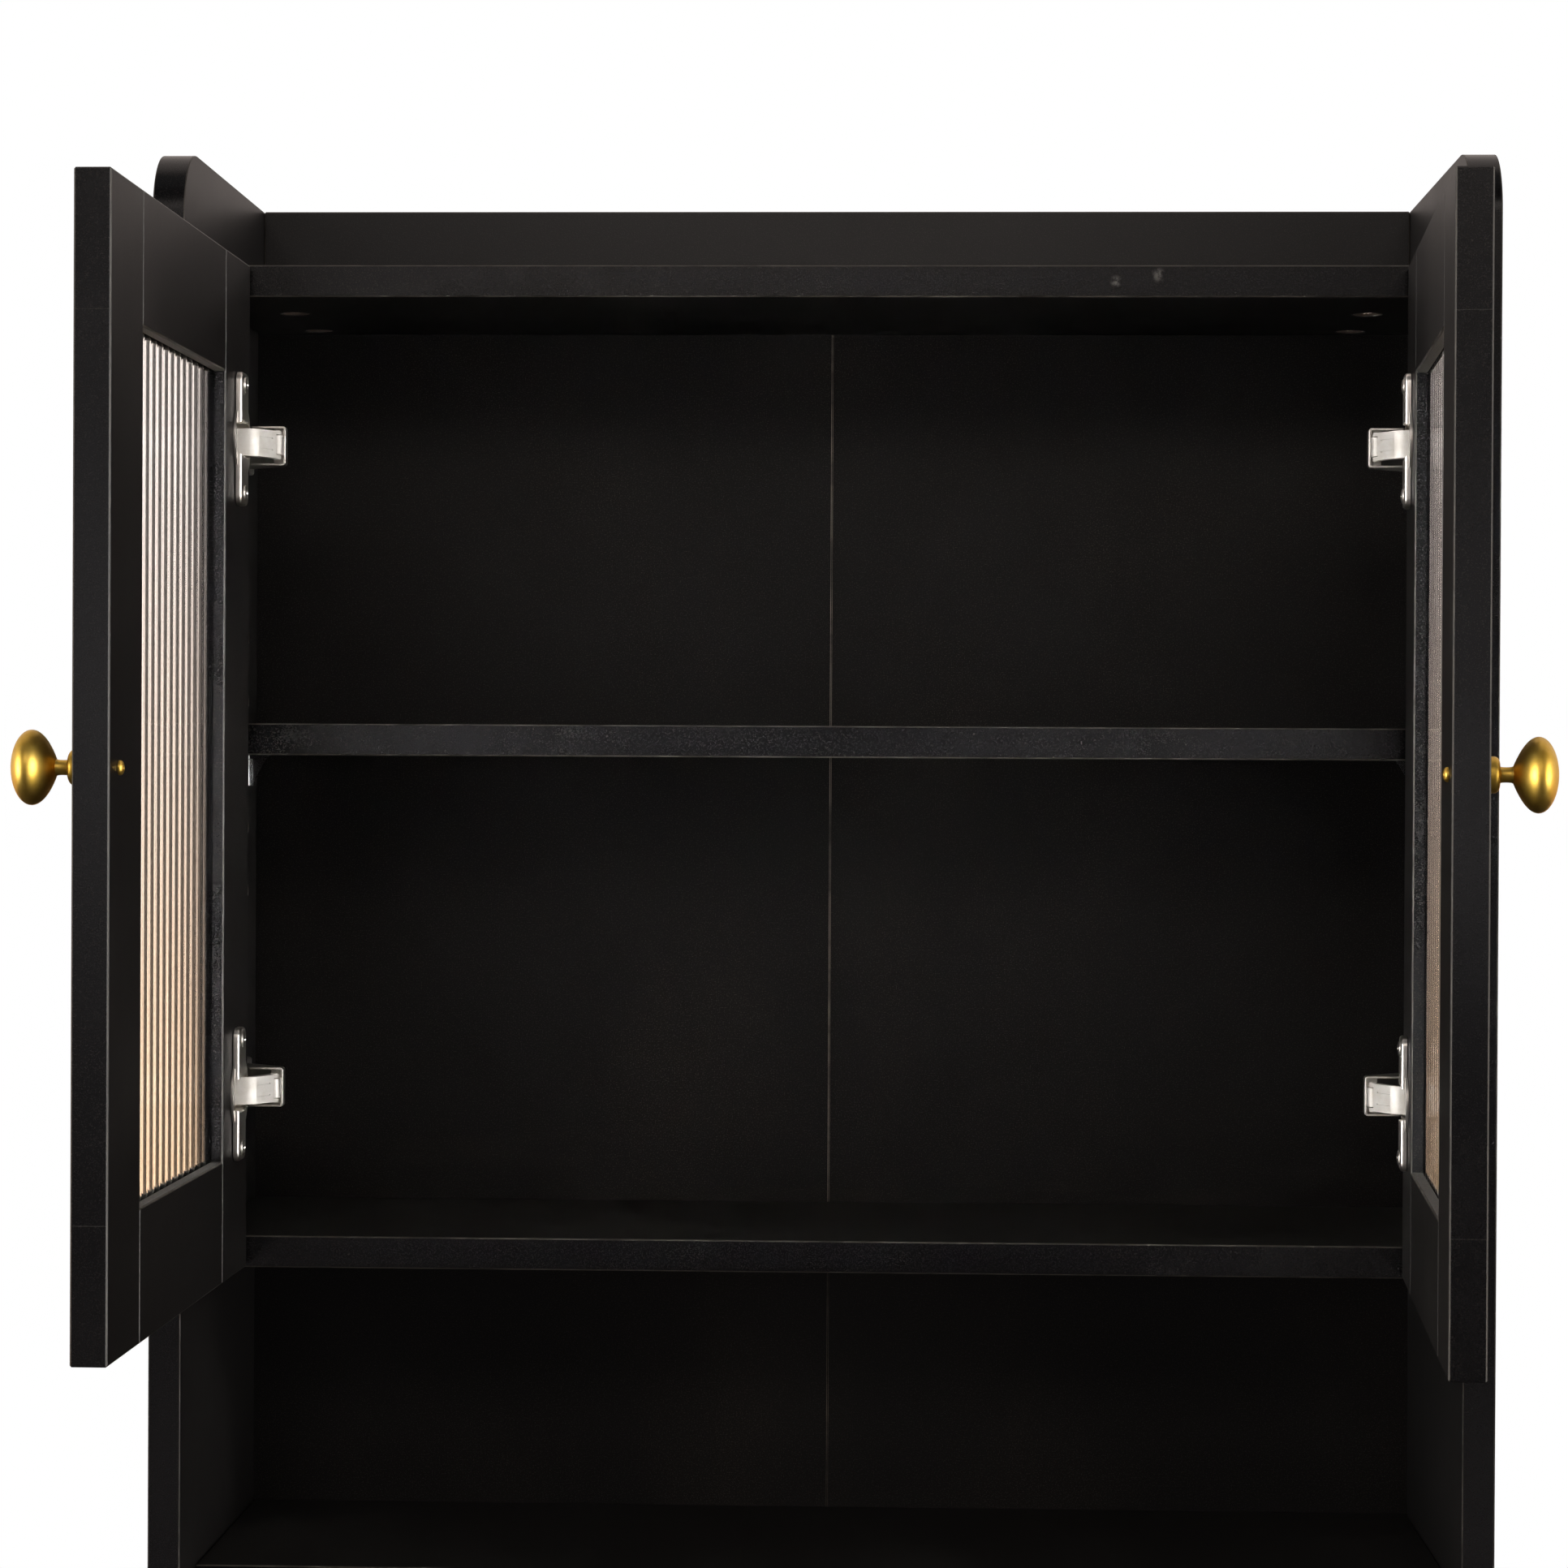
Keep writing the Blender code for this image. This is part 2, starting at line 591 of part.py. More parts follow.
def strip_outline(start, elbow, end, half):
    """Outline of a bent strip of even thickness with round ends and a round elbow."""
    first, last = elbow - start, end - elbow
    heading = math.atan2(first.y, first.x)
    turn = -first.angle_signed(last)
    quarter = math.copysign(math.pi / 2, turn)
    inner_corner = arc(elbow, half / math.cos(turn / 2), heading + turn / 2 + quarter, 0.0, 1)[0]
    bend = arc(elbow, half, heading - quarter, heading + turn - quarter, ELBOW_STEPS)
    start_end = arc(start, half, heading + quarter, heading + 3 * quarter, END_STEPS)
    far_end = arc(end, half, heading + turn - quarter, heading + turn + quarter, END_STEPS)
    return start_end + bend + far_end + [inner_corner]


def hinge_cup(door, name, z):
    """The pressed cup in the door: round wall, wings for the screws, and its cross pin."""
    part_name = f"{door.name}_{name}_cup"
    rim_middle = (SEAT_GAP + CUP_RIM) / 2
    centre = door.on_door(CUP_CENTRE, (CUP_DEPTH - rim_middle) / 2)
    body = rod((centre.x, centre.y, z), CUP_RADIUS, CUP_DEPTH + rim_middle, "Y", ROUND_STEPS)
    cup = new_part(part_name, body, NICKEL, door.door_pivot)
    rim_centre = door.on_door(CUP_CENTRE, -rim_middle)
    rim = rod((rim_centre.x, rim_centre.y, z), CUP_RIM_RADIUS, CUP_RIM - SEAT_GAP, "Y", ROUND_STEPS)
    combine(cup, door.cutter(name + "_rim", rim), "UNION")
    wing_x, wing_y = door.span((WING_NEAR, WING_FAR), (-WING_THICK, -SEAT_GAP - WING_LIFT))
    wing_form = block(wing_x, wing_y, (z - WING_HALF_LENGTH, z + WING_HALF_LENGTH))
    wings = door.cutter(name + "_wings", wing_form)
    soften(wings, WING_EDGE)
    combine(cup, wings, "UNION")
    pocket_depths = (-WING_THICK - ARRIS, CUP_DEPTH - CUP_FLOOR)
    pocket_x, pocket_y = door.span((POCKET_NEAR, POCKET_FAR), pocket_depths)
    pocket = block(pocket_x, pocket_y, (z - POCKET_HALF_WIDTH, z + POCKET_HALF_WIDTH))
    combine(cup, door.cutter(name + "_pocket", pocket))
    pin = rod((0.0, 0.0, z), PIN_RADIUS, 2 * POCKET_HALF_WIDTH + CUP_FLOOR, "Z", SMALL_ROUND_STEPS)
    combine(cup, door.cutter(name + "_pin", pin), "UNION")


def hinge_link(door, name, z):
    """The cranked link: a fork round the arm's nose, a barrel round the cup's pin."""
    start = Vector((0.0, 0.0))
    end = door.on_link(CUP_PIN_FROM_EDGE, CUP_PIN_DEPTH)
    across = Vector((-end.y, end.x)).normalized() * -door.hand
    elbow = end * LINK_ELBOW_SHARE + across * LINK_ELBOW_OUT
    outline = strip_outline(start, elbow, end, LINK_HALF_THICK)
    strip = prism(outline, z - LINK_HALF_WIDTH, z + LINK_HALF_WIDTH)
    link = new_part(f"{door.name}_{name}_link", strip, NICKEL, door.link_pivot)
    fork_width = 2 * (NOSE_HALF_WIDTH + FORK_PLAY)
    fork = rod((0.0, 0.0, z), NOSE_RADIUS + 2 * FORK_PLAY, fork_width, "Z", ROUND_STEPS)
    combine(link, new_cutter(f"{door.name}_{name}_fork", fork, door.link_pivot))
    bores = bmesh.new()
    for place in (start, end):
        add_rod(bores, (place.x, place.y, z), PIN_RADIUS + PIN_PLAY, 2 * LINK_HALF_WIDTH + ARRIS,
                "Z", SMALL_ROUND_STEPS)
    combine(link, new_cutter(f"{door.name}_{name}_bores", bores, door.link_pivot))


def hinge_arm(door, name, z):
    """The cranked arm on the side panel: a pressed channel with a nose and a mounting plate."""
    hand = door.hand
    inner = hand * INSIDE

    def at(out, back):
        return (inner - hand * out, SHELF_Y + back)

    start, crank, end = ARM_START, ARM_CRANK_START, ARM_CRANK_END
    low_start = ARM_TOP - ARM_MOUTH_DEPTH
    outline = [at(low_start, start), at(ARM_TOP, start), at(ARM_TOP, crank), at(ARM_TAIL_TOP, end),
               at(ARM_TAIL_TOP, ARM_LENGTH), at(MOUNT_PLATE / 2, ARM_LENGTH), at(MOUNT_PLATE / 2, end)]
    channel = prism(outline, z - ARM_HALF_WIDTH, z + ARM_HALF_WIDTH)
    arm = new_part(f"{door.name}_{name}_arm", channel, NICKEL)
    roof, tail_roof = ARM_TOP - ARM_SHEET, ARM_TAIL_TOP - ARM_SHEET
    mouth, tail_end = start - ARM_SHEET, ARM_LENGTH - ARM_SHEET
    hollow = [at(low_start - ARM_MOUTH_DEPTH, mouth), at(roof, mouth), at(roof, crank - ARM_SHEET / 2),
              at(tail_roof, end - ARM_SHEET / 2), at(tail_roof, tail_end), at(-ARM_SHEET, tail_end),
              at(-ARM_SHEET, mouth)]
    width = ARM_HALF_WIDTH - ARM_SHEET
    combine(arm, new_cutter(f"{door.name}_{name}_hollow", prism(hollow, z - width, z + width)))
    plate_x = (inner - hand * SEAT_GAP, inner - hand * (SEAT_GAP + MOUNT_PLATE))
    plate = block(plate_x, (SHELF_Y + MOUNT_START, SHELF_Y + MOUNT_START + MOUNT_LENGTH),
                  (z - MOUNT_HALF_HEIGHT, z + MOUNT_HALF_HEIGHT))
    combine(arm, new_cutter(f"{door.name}_{name}_plate", plate), "UNION")

    axis = door.arm_axis
    back = SHELF_Y + crank
    top = inner - hand * (ARM_TOP - ARM_SHEET / 2)
    nose = [(axis.x + hand * NOSE_RADIUS, back), (top, back), (top, SHELF_Y + start)]
    nose += arc(axis, NOSE_RADIUS, -math.pi / 2 * (1 + hand), -math.pi / 2 * (1 - hand), NOSE_STEPS)
    nose_form = prism(nose, z - NOSE_HALF_WIDTH, z + NOSE_HALF_WIDTH)
    combine(arm, new_cutter(f"{door.name}_{name}_nose", nose_form), "UNION")
    pin = rod((axis.x, axis.y, z), PIN_RADIUS, 2 * LINK_HALF_WIDTH, "Z", SMALL_ROUND_STEPS)
    combine(arm, new_cutter(f"{door.name}_{name}_arm_pin", pin), "UNION")


def hinges(door):
    """Fits the upper and the lower hinge of one door."""
    for name, z in zip(("top_hinge", "bottom_hinge"), door.hinge_heights()):
        hinge_cup(door, name, z)
        hinge_link(door, name, z)
        hinge_arm(door, name, z)


HUTCH, CUTTERS = empty_scene()
carcass()
for side, hand in (("left", -1), ("right", 1)):
    for place, row in zip(("front", "back"), PEG_ROWS):
        shelf_peg(f"shelf_peg_{side}_{place}", hand, row)

upper = (UPPER_FLOOR_TOP - BOARD + DOOR_REVEAL, TOP - DOOR_REVEAL)
lower = (PLINTH_HEIGHT + DOOR_REVEAL, NICHE_FLOOR_TOP - DOOR_REVEAL)
for side, hand, opened in (("left", -1, LEFT_DOOR_OPEN), ("right", 1, RIGHT_DOOR_OPEN)):
    upper_door = DoorFrame("upper_" + side, hand, *upper, opened)
    glazed_door(upper_door)
    hinges(upper_door)
    lower_door = DoorFrame("lower_" + side, hand, *lower, LOWER_DOOR_OPEN)
    panelled_door(lower_door)
    hinges(lower_door)
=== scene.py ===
"""The looks of a narrow black kitchen hutch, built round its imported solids.

Lengths are in metres and angles in degrees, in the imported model's frame: +X is right,
-Y is the front, +Z is up, and the origin is on the floor under the plinth.
"""
import json
import math

import bmesh
import bpy
from mathutils import Matrix, Vector


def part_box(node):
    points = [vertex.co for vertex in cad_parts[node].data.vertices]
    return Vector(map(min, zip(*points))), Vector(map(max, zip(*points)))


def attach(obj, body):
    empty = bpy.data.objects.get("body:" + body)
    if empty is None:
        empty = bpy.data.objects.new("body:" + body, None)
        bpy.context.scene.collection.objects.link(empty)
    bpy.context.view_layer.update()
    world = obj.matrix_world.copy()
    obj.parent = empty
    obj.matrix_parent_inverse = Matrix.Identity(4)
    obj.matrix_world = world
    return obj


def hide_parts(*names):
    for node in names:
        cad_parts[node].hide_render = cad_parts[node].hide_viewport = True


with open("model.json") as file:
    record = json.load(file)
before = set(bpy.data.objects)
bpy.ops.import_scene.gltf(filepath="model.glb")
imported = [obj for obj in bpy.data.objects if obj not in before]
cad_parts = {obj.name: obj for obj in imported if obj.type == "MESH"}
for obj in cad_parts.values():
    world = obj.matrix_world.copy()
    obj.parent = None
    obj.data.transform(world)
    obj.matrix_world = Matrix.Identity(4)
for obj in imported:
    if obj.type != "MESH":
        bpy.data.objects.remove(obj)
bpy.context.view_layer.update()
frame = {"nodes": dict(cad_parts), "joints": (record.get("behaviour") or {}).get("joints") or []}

# The photographer's place: in front of the hutch at chest height, a little to its right,
# with a short telephoto lens. The frame is square, so the whole sensor width is used.
CAMERA_PLACE = (0.04606, -1.75600, 1.24824)
CAMERA_YAW = 2.118
CAMERA_PITCH = -0.385
CAMERA_ROLL = 0.288
LENS_MM = 84.80
SENSOR_MM = 36.0

lens = bpy.data.cameras.new("photographer")
lens.lens = LENS_MM
lens.sensor_fit = "HORIZONTAL"
lens.sensor_width = SENSOR_MM
lens.clip_start = 0.01
camera = bpy.data.objects.new("photographer", lens)
bpy.context.scene.collection.objects.link(camera)
aim = Matrix.Rotation(math.radians(CAMERA_YAW), 4, "Z")
aim @= Matrix.Rotation(math.radians(90.0 + CAMERA_PITCH), 4, "X")
aim @= Matrix.Rotation(math.radians(CAMERA_ROLL), 4, "Z")
camera.matrix_world = Matrix.Translation(CAMERA_PLACE) @ aim
bpy.context.scene.camera = camera
bpy.context.scene.view_settings.view_transform = "Standard"


# The two side panels: 15 mm particle board under black melamine paper, with a slightly
# bluer black band glued round the edges. The band's arrises were eased with a scraper,
# and their thin pale lines are painted in, partly as wear and partly as a painted highlight
# where light catches them. Each finish is written as arithmetic on its node sockets.
BOARD = 0.015
ARRIS = 0.0007
ARRIS_BLUR = 0.00015
ARRIS_FILM = 0.00003
ARRIS_SKIN = 0.00002
PAPER_BLACK = (0.0045, 0.0037, 0.0034, 1.0)
PAPER_BLOOM = (0.0110, 0.0094, 0.0085, 1.0)
BAND_BLACK = (0.0082, 0.0080, 0.0094, 1.0)
BAND_BLOOM = (0.0135, 0.0132, 0.0150, 1.0)
ARRIS_WEAR_AND_HIGHLIGHT = (0.180, 0.165, 0.142, 1.0)
# Pale grey for dust specks, and for dust mixed with a painted sheen on tops and lips.
DUST_AND_SHEEN = (0.16, 0.15, 0.13, 1.0)
GRAIN_GREY = (0.060, 0.052, 0.047, 1.0)
CHALK = (0.50, 0.48, 0.45, 1.0)
PAPER_SHEEN = 0.38
CLOUD_SCALE = 5.0
GRAIN_SCALE = 1800.0
GRAIN_RELIEF = 0.00007
SPECK_SCALE = 420.0
SMUDGE_SCALE = 260.0
BLOOM_SHARE = 0.5
SPECK_SHARE = 0.4
SMUDGE_SHARE = 0.5
BAND_GLOSS = 0.20
LIP_REACH = 0.00020
LIP_MATT = 0.55
GALLERY_RADIUS = 0.030
GALLERY_STEPS = 20
GROOVE_DEPTH = 0.005
GROOVE_PLAY = 0.0003
PEG_HOLE_RADIUS = 0.0026
PEG_HOLE_DEPTH = 0.009
PEG_HOLE_PITCH = 0.032
PEG_HOLES_EACH_WAY = 2
PEG_HOLE_DROP = 0.0045
PEG_HOLE_STEPS = 24
PANEL_EDGE = 0.0004


class Value:
    """One socket of a finish's nodes, which arithmetic can be done on."""

    def __init__(self, finish, socket):
        self.finish = finish
        self.socket = socket

    def maths(self, operation, *values):
        return self.finish.node("ShaderNodeMath", {"operation": operation}, dict(enumerate(values)))

    def __add__(self, other):
        return self.maths("ADD", self, other)

    def __sub__(self, other):
        return self.maths("SUBTRACT", self, other)

    def __rsub__(self, other):
        return self.maths("SUBTRACT", other, self)

    def __mul__(self, other):
        return self.maths("MULTIPLY", self, other)

    __radd__ = __add__
    __rmul__ = __mul__

    def size(self):
        return self.maths("ABSOLUTE", self)

    def least(self, other):
        return self.maths("MINIMUM", self, other)

    def most(self, other):
        return self.maths("MAXIMUM", self, other)

    def ramp(self, low, high, before=0.0, after=1.0):
        """Goes smoothly from one level to another as the value passes from low to high."""
        values = {"Value": self, "From Min": low, "From Max": high, "To Min": before, "To Max": after}
        return self.finish.node("ShaderNodeMapRange", {"interpolation_type": "SMOOTHSTEP"}, values)


class Finish:
    """A Principled material whose nodes are added one by one."""

    def __init__(self, name, **plain):
        self.material = bpy.data.materials.new(name)
        self.material.use_nodes = True
        self.tree = self.material.node_tree
        self.shader = self.tree.nodes["Principled BSDF"]
        for socket, value in plain.items():
            self.shader.inputs[socket.replace("_", " ")].default_value = value

    def node(self, kind, settings, values, output=0):
        made = self.tree.nodes.new(kind)
        for name, setting in settings.items():
            setattr(made, name, setting)
        for name, value in values.items():
            if isinstance(value, Value):
                self.tree.links.new(value.socket, made.inputs[name])
            else:
                made.inputs[name].default_value = value
        return Value(self, made.outputs[output])

    def feed(self, socket, value):
        """Drives one of the shader's own sockets with a value."""
        self.tree.links.new(value.socket, self.shader.inputs[socket])

    def place(self):
        return self.node("ShaderNodeTexCoord", {}, {}, "Object")

    def stretched(self, amounts):
        """Object coordinates squeezed along each axis, for grain and brushing."""
        values = {"Vector": self.place(), "Scale": amounts}
        return self.node("ShaderNodeMapping", {}, values, "Vector")

    def along(self, axis, start):
        """How far a point lies beyond a start along an axis."""
        values = {0: self.place(), 1: tuple(axis)}
        far = self.node("ShaderNodeVectorMath", {"operation": "DOT_PRODUCT"}, values, "Value")
        return far - start

    def from_point(self, centre):
        """How far a point lies from another."""
        values = {0: self.place(), 1: centre}
        return self.node("ShaderNodeVectorMath", {"operation": "DISTANCE"}, values, "Value")

    def noise(self, scale, detail=2.0, roughness=0.5, where=None):
        values = {"Vector": where or self.place(), "Scale": scale, "Detail": detail,
                  "Roughness": roughness}
        return self.node("ShaderNodeTexNoise", {}, values, "Fac")

    def mix(self, share, first, second):
        """A colour between two others, each a colour or a value."""
        return self.node("ShaderNodeMix", {"data_type": "RGBA"}, {0: share, 6: first, 7: second}, 2)

    def bump(self, height, depth, strength=1.0):
        values = {"Height": height, "Distance": depth, "Strength": strength}
        return self.node("ShaderNodeBump", {}, values, "Normal")


def laminate(name, axis, start, thickness=BOARD, shine=0.40, dusty_with_sheen=False, lips=(), marks=()):
    """Melamine on a board: paper on its faces, banding on its edges, arrises between with painted
    highlights and wear.

    The axis runs through the board's thickness, and start is one face's place along it.
    Lips are the heights of sawn edges, and marks the places and reaches of smudges.
    """
    paper = Finish(name, Specular_IOR_Level=PAPER_SHEEN)
    depth = paper.along(axis, start)
    from_face = depth.least(thickness - depth)
    band = from_face.ramp(ARRIS - ARRIS_BLUR, ARRIS)
    arris_wear_and_highlight = from_face.ramp(ARRIS_SKIN, ARRIS_BLUR)
    arris_wear_and_highlight = arris_wear_and_highlight * from_face.ramp(ARRIS - ARRIS_FILM, ARRIS - ARRIS_BLUR)
    mottle = paper.noise(CLOUD_SCALE, 5.0, 0.6).ramp(0.40, 0.75)
    grain = paper.noise(GRAIN_SCALE)
    bloom = mottle * BLOOM_SHARE
    faces = paper.mix(bloom, PAPER_BLACK, PAPER_BLOOM)
    edges = paper.mix(bloom, BAND_BLACK, BAND_BLOOM)
    pores = grain.ramp(0.57, 0.66) * (0.40 + mottle * 0.60)
    specks = paper.noise(SPECK_SCALE, 1.0).ramp(0.77, 0.79)
    specks = specks * paper.noise(3 * CLOUD_SCALE).ramp(0.45, 0.60)
    plain = paper.mix(pores, paper.mix(band, faces, edges), GRAIN_GREY)
    colour = paper.mix(specks * SPECK_SHARE, plain, DUST_AND_SHEEN)
    # Upward faces are mixed towards pale grey: partly settled dust, partly a painted sheen where light
    # grazes them.
    if dusty_with_sheen:
        lying = depth.ramp(thickness - ARRIS_BLUR, thickness - ARRIS_BLUR / 3)
        settled_dust_and_sheen = 0.06 + mottle * 0.05 + grain.ramp(0.5, 0.8) * 0.05
        colour = paper.mix(lying * settled_dust_and_sheen, colour, DUST_AND_SHEEN)
    roughness = shine + mottle * 0.08 + grain * 0.06 - band * BAND_GLOSS
    # The rails' edges round the pane are painted paler: partly dust, partly a painted sheen of the
    # bright light seen through the glass.
    for height in lips:
        lip_dust_and_sheen = paper.along((0.0, 0.0, 1.0), height).size().ramp(LIP_REACH, LIP_REACH / 2) * band
        colour = paper.mix(lip_dust_and_sheen * (0.25 + grain.ramp(0.4, 0.7) * 0.35), colour, DUST_AND_SHEEN)
        roughness = roughness + lip_dust_and_sheen * LIP_MATT
    for place, reach in marks:
        rubbed = paper.from_point(place).ramp(reach, reach * 0.2)
        rubbed = rubbed * paper.noise(SMUDGE_SCALE, 4.0, 0.65).ramp(0.42, 0.62)
        colour = paper.mix(rubbed * SMUDGE_SHARE, colour, CHALK)
    # The pale arris lines are partly edge wear and partly a painted highlight where light catches the
    # eased arrises.
    wear = 0.35 + paper.noise(60.0, 3.0).ramp(0.3, 0.65) * 0.65
    paper.feed("Base Color", paper.mix(arris_wear_and_highlight * wear, colour, ARRIS_WEAR_AND_HIGHLIGHT))
    paper.feed("Roughness", roughness)
    paper.feed("Normal", paper.bump(grain, GRAIN_RELIEF, 0.6))
    return paper


def block(x, y, z):
    """A box between pairs of limits, given in either order."""
    form = bmesh.new()
    sizes = [abs(pair[1] - pair[0]) for pair in (x, y, z)]
    middle = [(pair[0] + pair[1]) / 2 for pair in (x, y, z)]
    place = Matrix.Translation(middle) @ Matrix.Diagonal((*sizes, 1.0))
    bmesh.ops.create_cube(form, size=1.0, matrix=place)
    return form


def eased(form, edges, radius, segments):
    """Rounds some of a form's edges."""
    bmesh.ops.bevel(form, geom=edges, offset=radius, offset_type="OFFSET", affect="EDGES",
                    segments=segments, profile=0.5, material=-1, clamp_overlap=True)


def moved(form, place):
    """Puts a form in its place, and turns its faces out again where the place mirrors it."""
    bmesh.ops.transform(form, matrix=place, verts=form.verts)
    if place.determinant() < 0:
        bmesh.ops.reverse_faces(form, faces=form.faces)
    return form


def carved(form, tool, operation="DIFFERENCE"):
    """Cuts one closed form out of another, or joins it on, and returns the result."""
    blanks = []
    for shape in (form, tool):
        mesh = bpy.data.meshes.new("blank")
        shape.to_mesh(mesh)
        shape.free()
        blanks.append(bpy.data.objects.new("blank", mesh))
        bpy.context.scene.collection.objects.link(blanks[-1])
    cut = blanks[0].modifiers.new("Cut", "BOOLEAN")
    cut.operation = operation
    cut.object = blanks[1]
    ready = blanks[0].evaluated_get(bpy.context.evaluated_depsgraph_get())
    result = bmesh.new()
    result.from_mesh(ready.to_mesh())
    for blank in blanks:
        bpy.data.meshes.remove(blank.data)
    return result


def copies(form, places):
    """One form that holds a copy at each place."""
    master = bpy.data.meshes.new("copies")
    form.to_mesh(master)
    form.free()
    group = bmesh.new()
    for place in places:
        copy = bmesh.new()
        copy.from_mesh(master)
        moved(copy, place)
        single = bpy.data.meshes.new("copy")
        copy.to_mesh(single)
        copy.free()
        group.from_mesh(single)
        bpy.data.meshes.remove(single)
    bpy.data.meshes.remove(master)
    return group


def cylinder(radius, length, middle, axis, steps=40):
    """A round bar about its middle, along X, Y or Z."""
    form = bmesh.new()
    turn = Matrix.Rotation(math.pi / 2, 4, {"X": "Y", "Y": "X", "Z": "Z"}[axis])
    bmesh.ops.create_cone(form, cap_ends=True, segments=steps, radius1=radius, radius2=radius,
                          depth=length, matrix=Matrix.Translation(middle) @ turn)
    return form


def finished(name, form, finish, body, slot, *nodes, rounding=0.0, smooth=40.0):
    """Makes a piece from its form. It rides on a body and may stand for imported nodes."""
    mesh = bpy.data.meshes.new(name)
    form.to_mesh(mesh)
    form.free()
    mesh.materials.append(finish.material)
    mesh.shade_smooth()
    mesh.set_sharp_from_angle(angle=math.radians(smooth))
    piece = bpy.data.objects.new(name, mesh)
    bpy.context.scene.collection.objects.link(piece)
    if rounding:
        soft = piece.modifiers.new("Rounded edges", "BEVEL")
        soft.width = rounding
        soft.segments = 2
        soft.limit_method = "ANGLE"
        soft.angle_limit = math.radians(smooth)
        soft.harden_normals = True
    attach(piece, body)
    if nodes:
        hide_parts(*nodes)
    return piece


def side_panel(side):
    """A panel with its rounded gallery corner, the groove for the back and two rows of peg holes."""
    node = "side_" + side
    low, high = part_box(node)
    hand = -1 if side == "left" else 1
    wall = low[0] if hand > 0 else high[0]
    form = block(*zip(low, high))
    corner = [edge for edge in form.edges
              if all(vert.co.y < low[1] + ARRIS and vert.co.z > high[2] - ARRIS for vert in edge.verts)]
    eased(form, corner, GALLERY_RADIUS, GALLERY_STEPS)
    back_low, back_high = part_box("back_left")
    floor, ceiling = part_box("base_board")[1][2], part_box("top_board")[0][2]
    groove = block((wall - hand * ARRIS, wall + hand * GROOVE_DEPTH),
                   (back_low[1] - GROOVE_PLAY, back_high[1] + GROOVE_PLAY),
                   (floor - GROOVE_DEPTH, ceiling + GROOVE_DEPTH))
    form = carved(form, groove)
    spots = []
    for row in ("front", "back"):
        peg_low, peg_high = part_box(f"shelf_peg_{side}_{row}")
        for step in range(-PEG_HOLES_EACH_WAY, PEG_HOLES_EACH_WAY + 1):
            height = peg_high[2] - PEG_HOLE_DROP + step * PEG_HOLE_PITCH
            spots.append(Matrix.Translation((wall, (peg_low[1] + peg_high[1]) / 2, height)))
    hole = cylinder(PEG_HOLE_RADIUS, 2 * PEG_HOLE_DEPTH, (0.0, 0.0, 0.0), "X", PEG_HOLE_STEPS)
    form = carved(form, copies(hole, spots))
    finish = laminate(node, (1.0, 0.0, 0.0), low[0])
    finished("panel_" + side, form, finish, "carcass", "black_laminate", node,
             rounding=PANEL_EDGE)


side_panel("left")
side_panel("right")


# The fixed boards, the loose shelf, the gallery rail, the plinth and the batten are the
# same board in other sizes, cut square and banded on their front edges. The top board's
# front edge has two chalky smudges, and the gallery rail is a little glossier.
TOP_SMUDGES = (((0.136, -0.0235, 1.4724), 0.0034), ((0.156, -0.0235, 1.4752), 0.0042))
BOARD_ROUGHNESS = 0.40
RAIL_ROUGHNESS = 0.28


def dress(name, finish):
    """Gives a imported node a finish."""
    mesh = frame["nodes"][name].data
    mesh.materials.clear()
    mesh.materials.append(finish.material)


def dress_board(name, shine=BOARD_ROUGHNESS, marks=()):
    """Covers a board that stands square in the frame; its thickness is its thinnest way."""
    low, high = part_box(name)
    sizes = [high[way] - low[way] for way in range(3)]
    across = sizes.index(min(sizes))
    axis = [float(way == across) for way in range(3)]
    dress(name, laminate(name, axis, low[across], sizes[across], shine, across == 2, marks=marks))


for name in ("upper_floor", "niche_floor", "lower_shelf", "base_board", "upper_shelf",
             "plinth", "back_batten"):
    dress_board(name)
dress_board("top_board", marks=TOP_SMUDGES)
dress_board("gallery_rail", RAIL_ROUGHNESS)


# Cam fasteners: die-cast zinc drums in the blind holes under each fixed board, turned
# with a cross-head driver to draw in the dowels from the side panels.
FIXED_BOARDS = ("top_board", "upper_floor", "niche_floor", "lower_shelf", "base_board")
CAM_RADIUS = 0.0073
CAM_FACE = 0.0060
CAM_RIM_RISE = 0.0004
CAM_LENGTH = 0.0118
CAM_SINK = 0.0003
CAM_FROM_SIDE = 0.034
CAM_FRONT = 0.104
CAM_FROM_BACK = 0.015
CAM_STEPS = 28
CAM_SLOT = 0.0013
CAM_TURN = 40.0
CROSS_TAPER = 0.55
TOUCHING = 0.00001
ZINC_DARK = (0.74, 0.63, 0.55, 1.0)
ZINC_LIGHT = (0.90, 0.78, 0.69, 1.0)

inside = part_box("side_right")[0][0]
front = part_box("side_right")[0][1]
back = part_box("back_left")[0][1]


def turned(profile, steps):
    """A solid turned about Z from radius and height pairs that start and end on its axis."""
    form = bmesh.new()
    points = [form.verts.new((radius, 0.0, height)) for radius, height in profile]
    edges = [form.edges.new(pair) for pair in zip(points, points[1:])]
    bmesh.ops.spin(form, geom=points + edges, axis=(0.0, 0.0, 1.0), cent=(0.0, 0.0, 0.0),
                   angle=2 * math.pi, steps=steps, use_merge=True)
    bmesh.ops.remove_doubles(form, verts=form.verts, dist=TOUCHING)
    bmesh.ops.recalc_face_normals(form, faces=form.faces)
    return form


def prism(outline, low, high):
    """Extrudes a flat outline in XY from one height to another."""
    form = bmesh.new()
    face = form.faces.new([form.verts.new((x, y, low)) for x, y in outline])
    grown = bmesh.ops.extrude_face_region(form, geom=[face])["geom"]
    top = [part for part in grown if isinstance(part, bmesh.types.BMVert)]
    bmesh.ops.translate(form, verts=top, vec=(0.0, 0.0, high - low))
    bmesh.ops.recalc_face_normals(form, faces=form.faces)
    return form


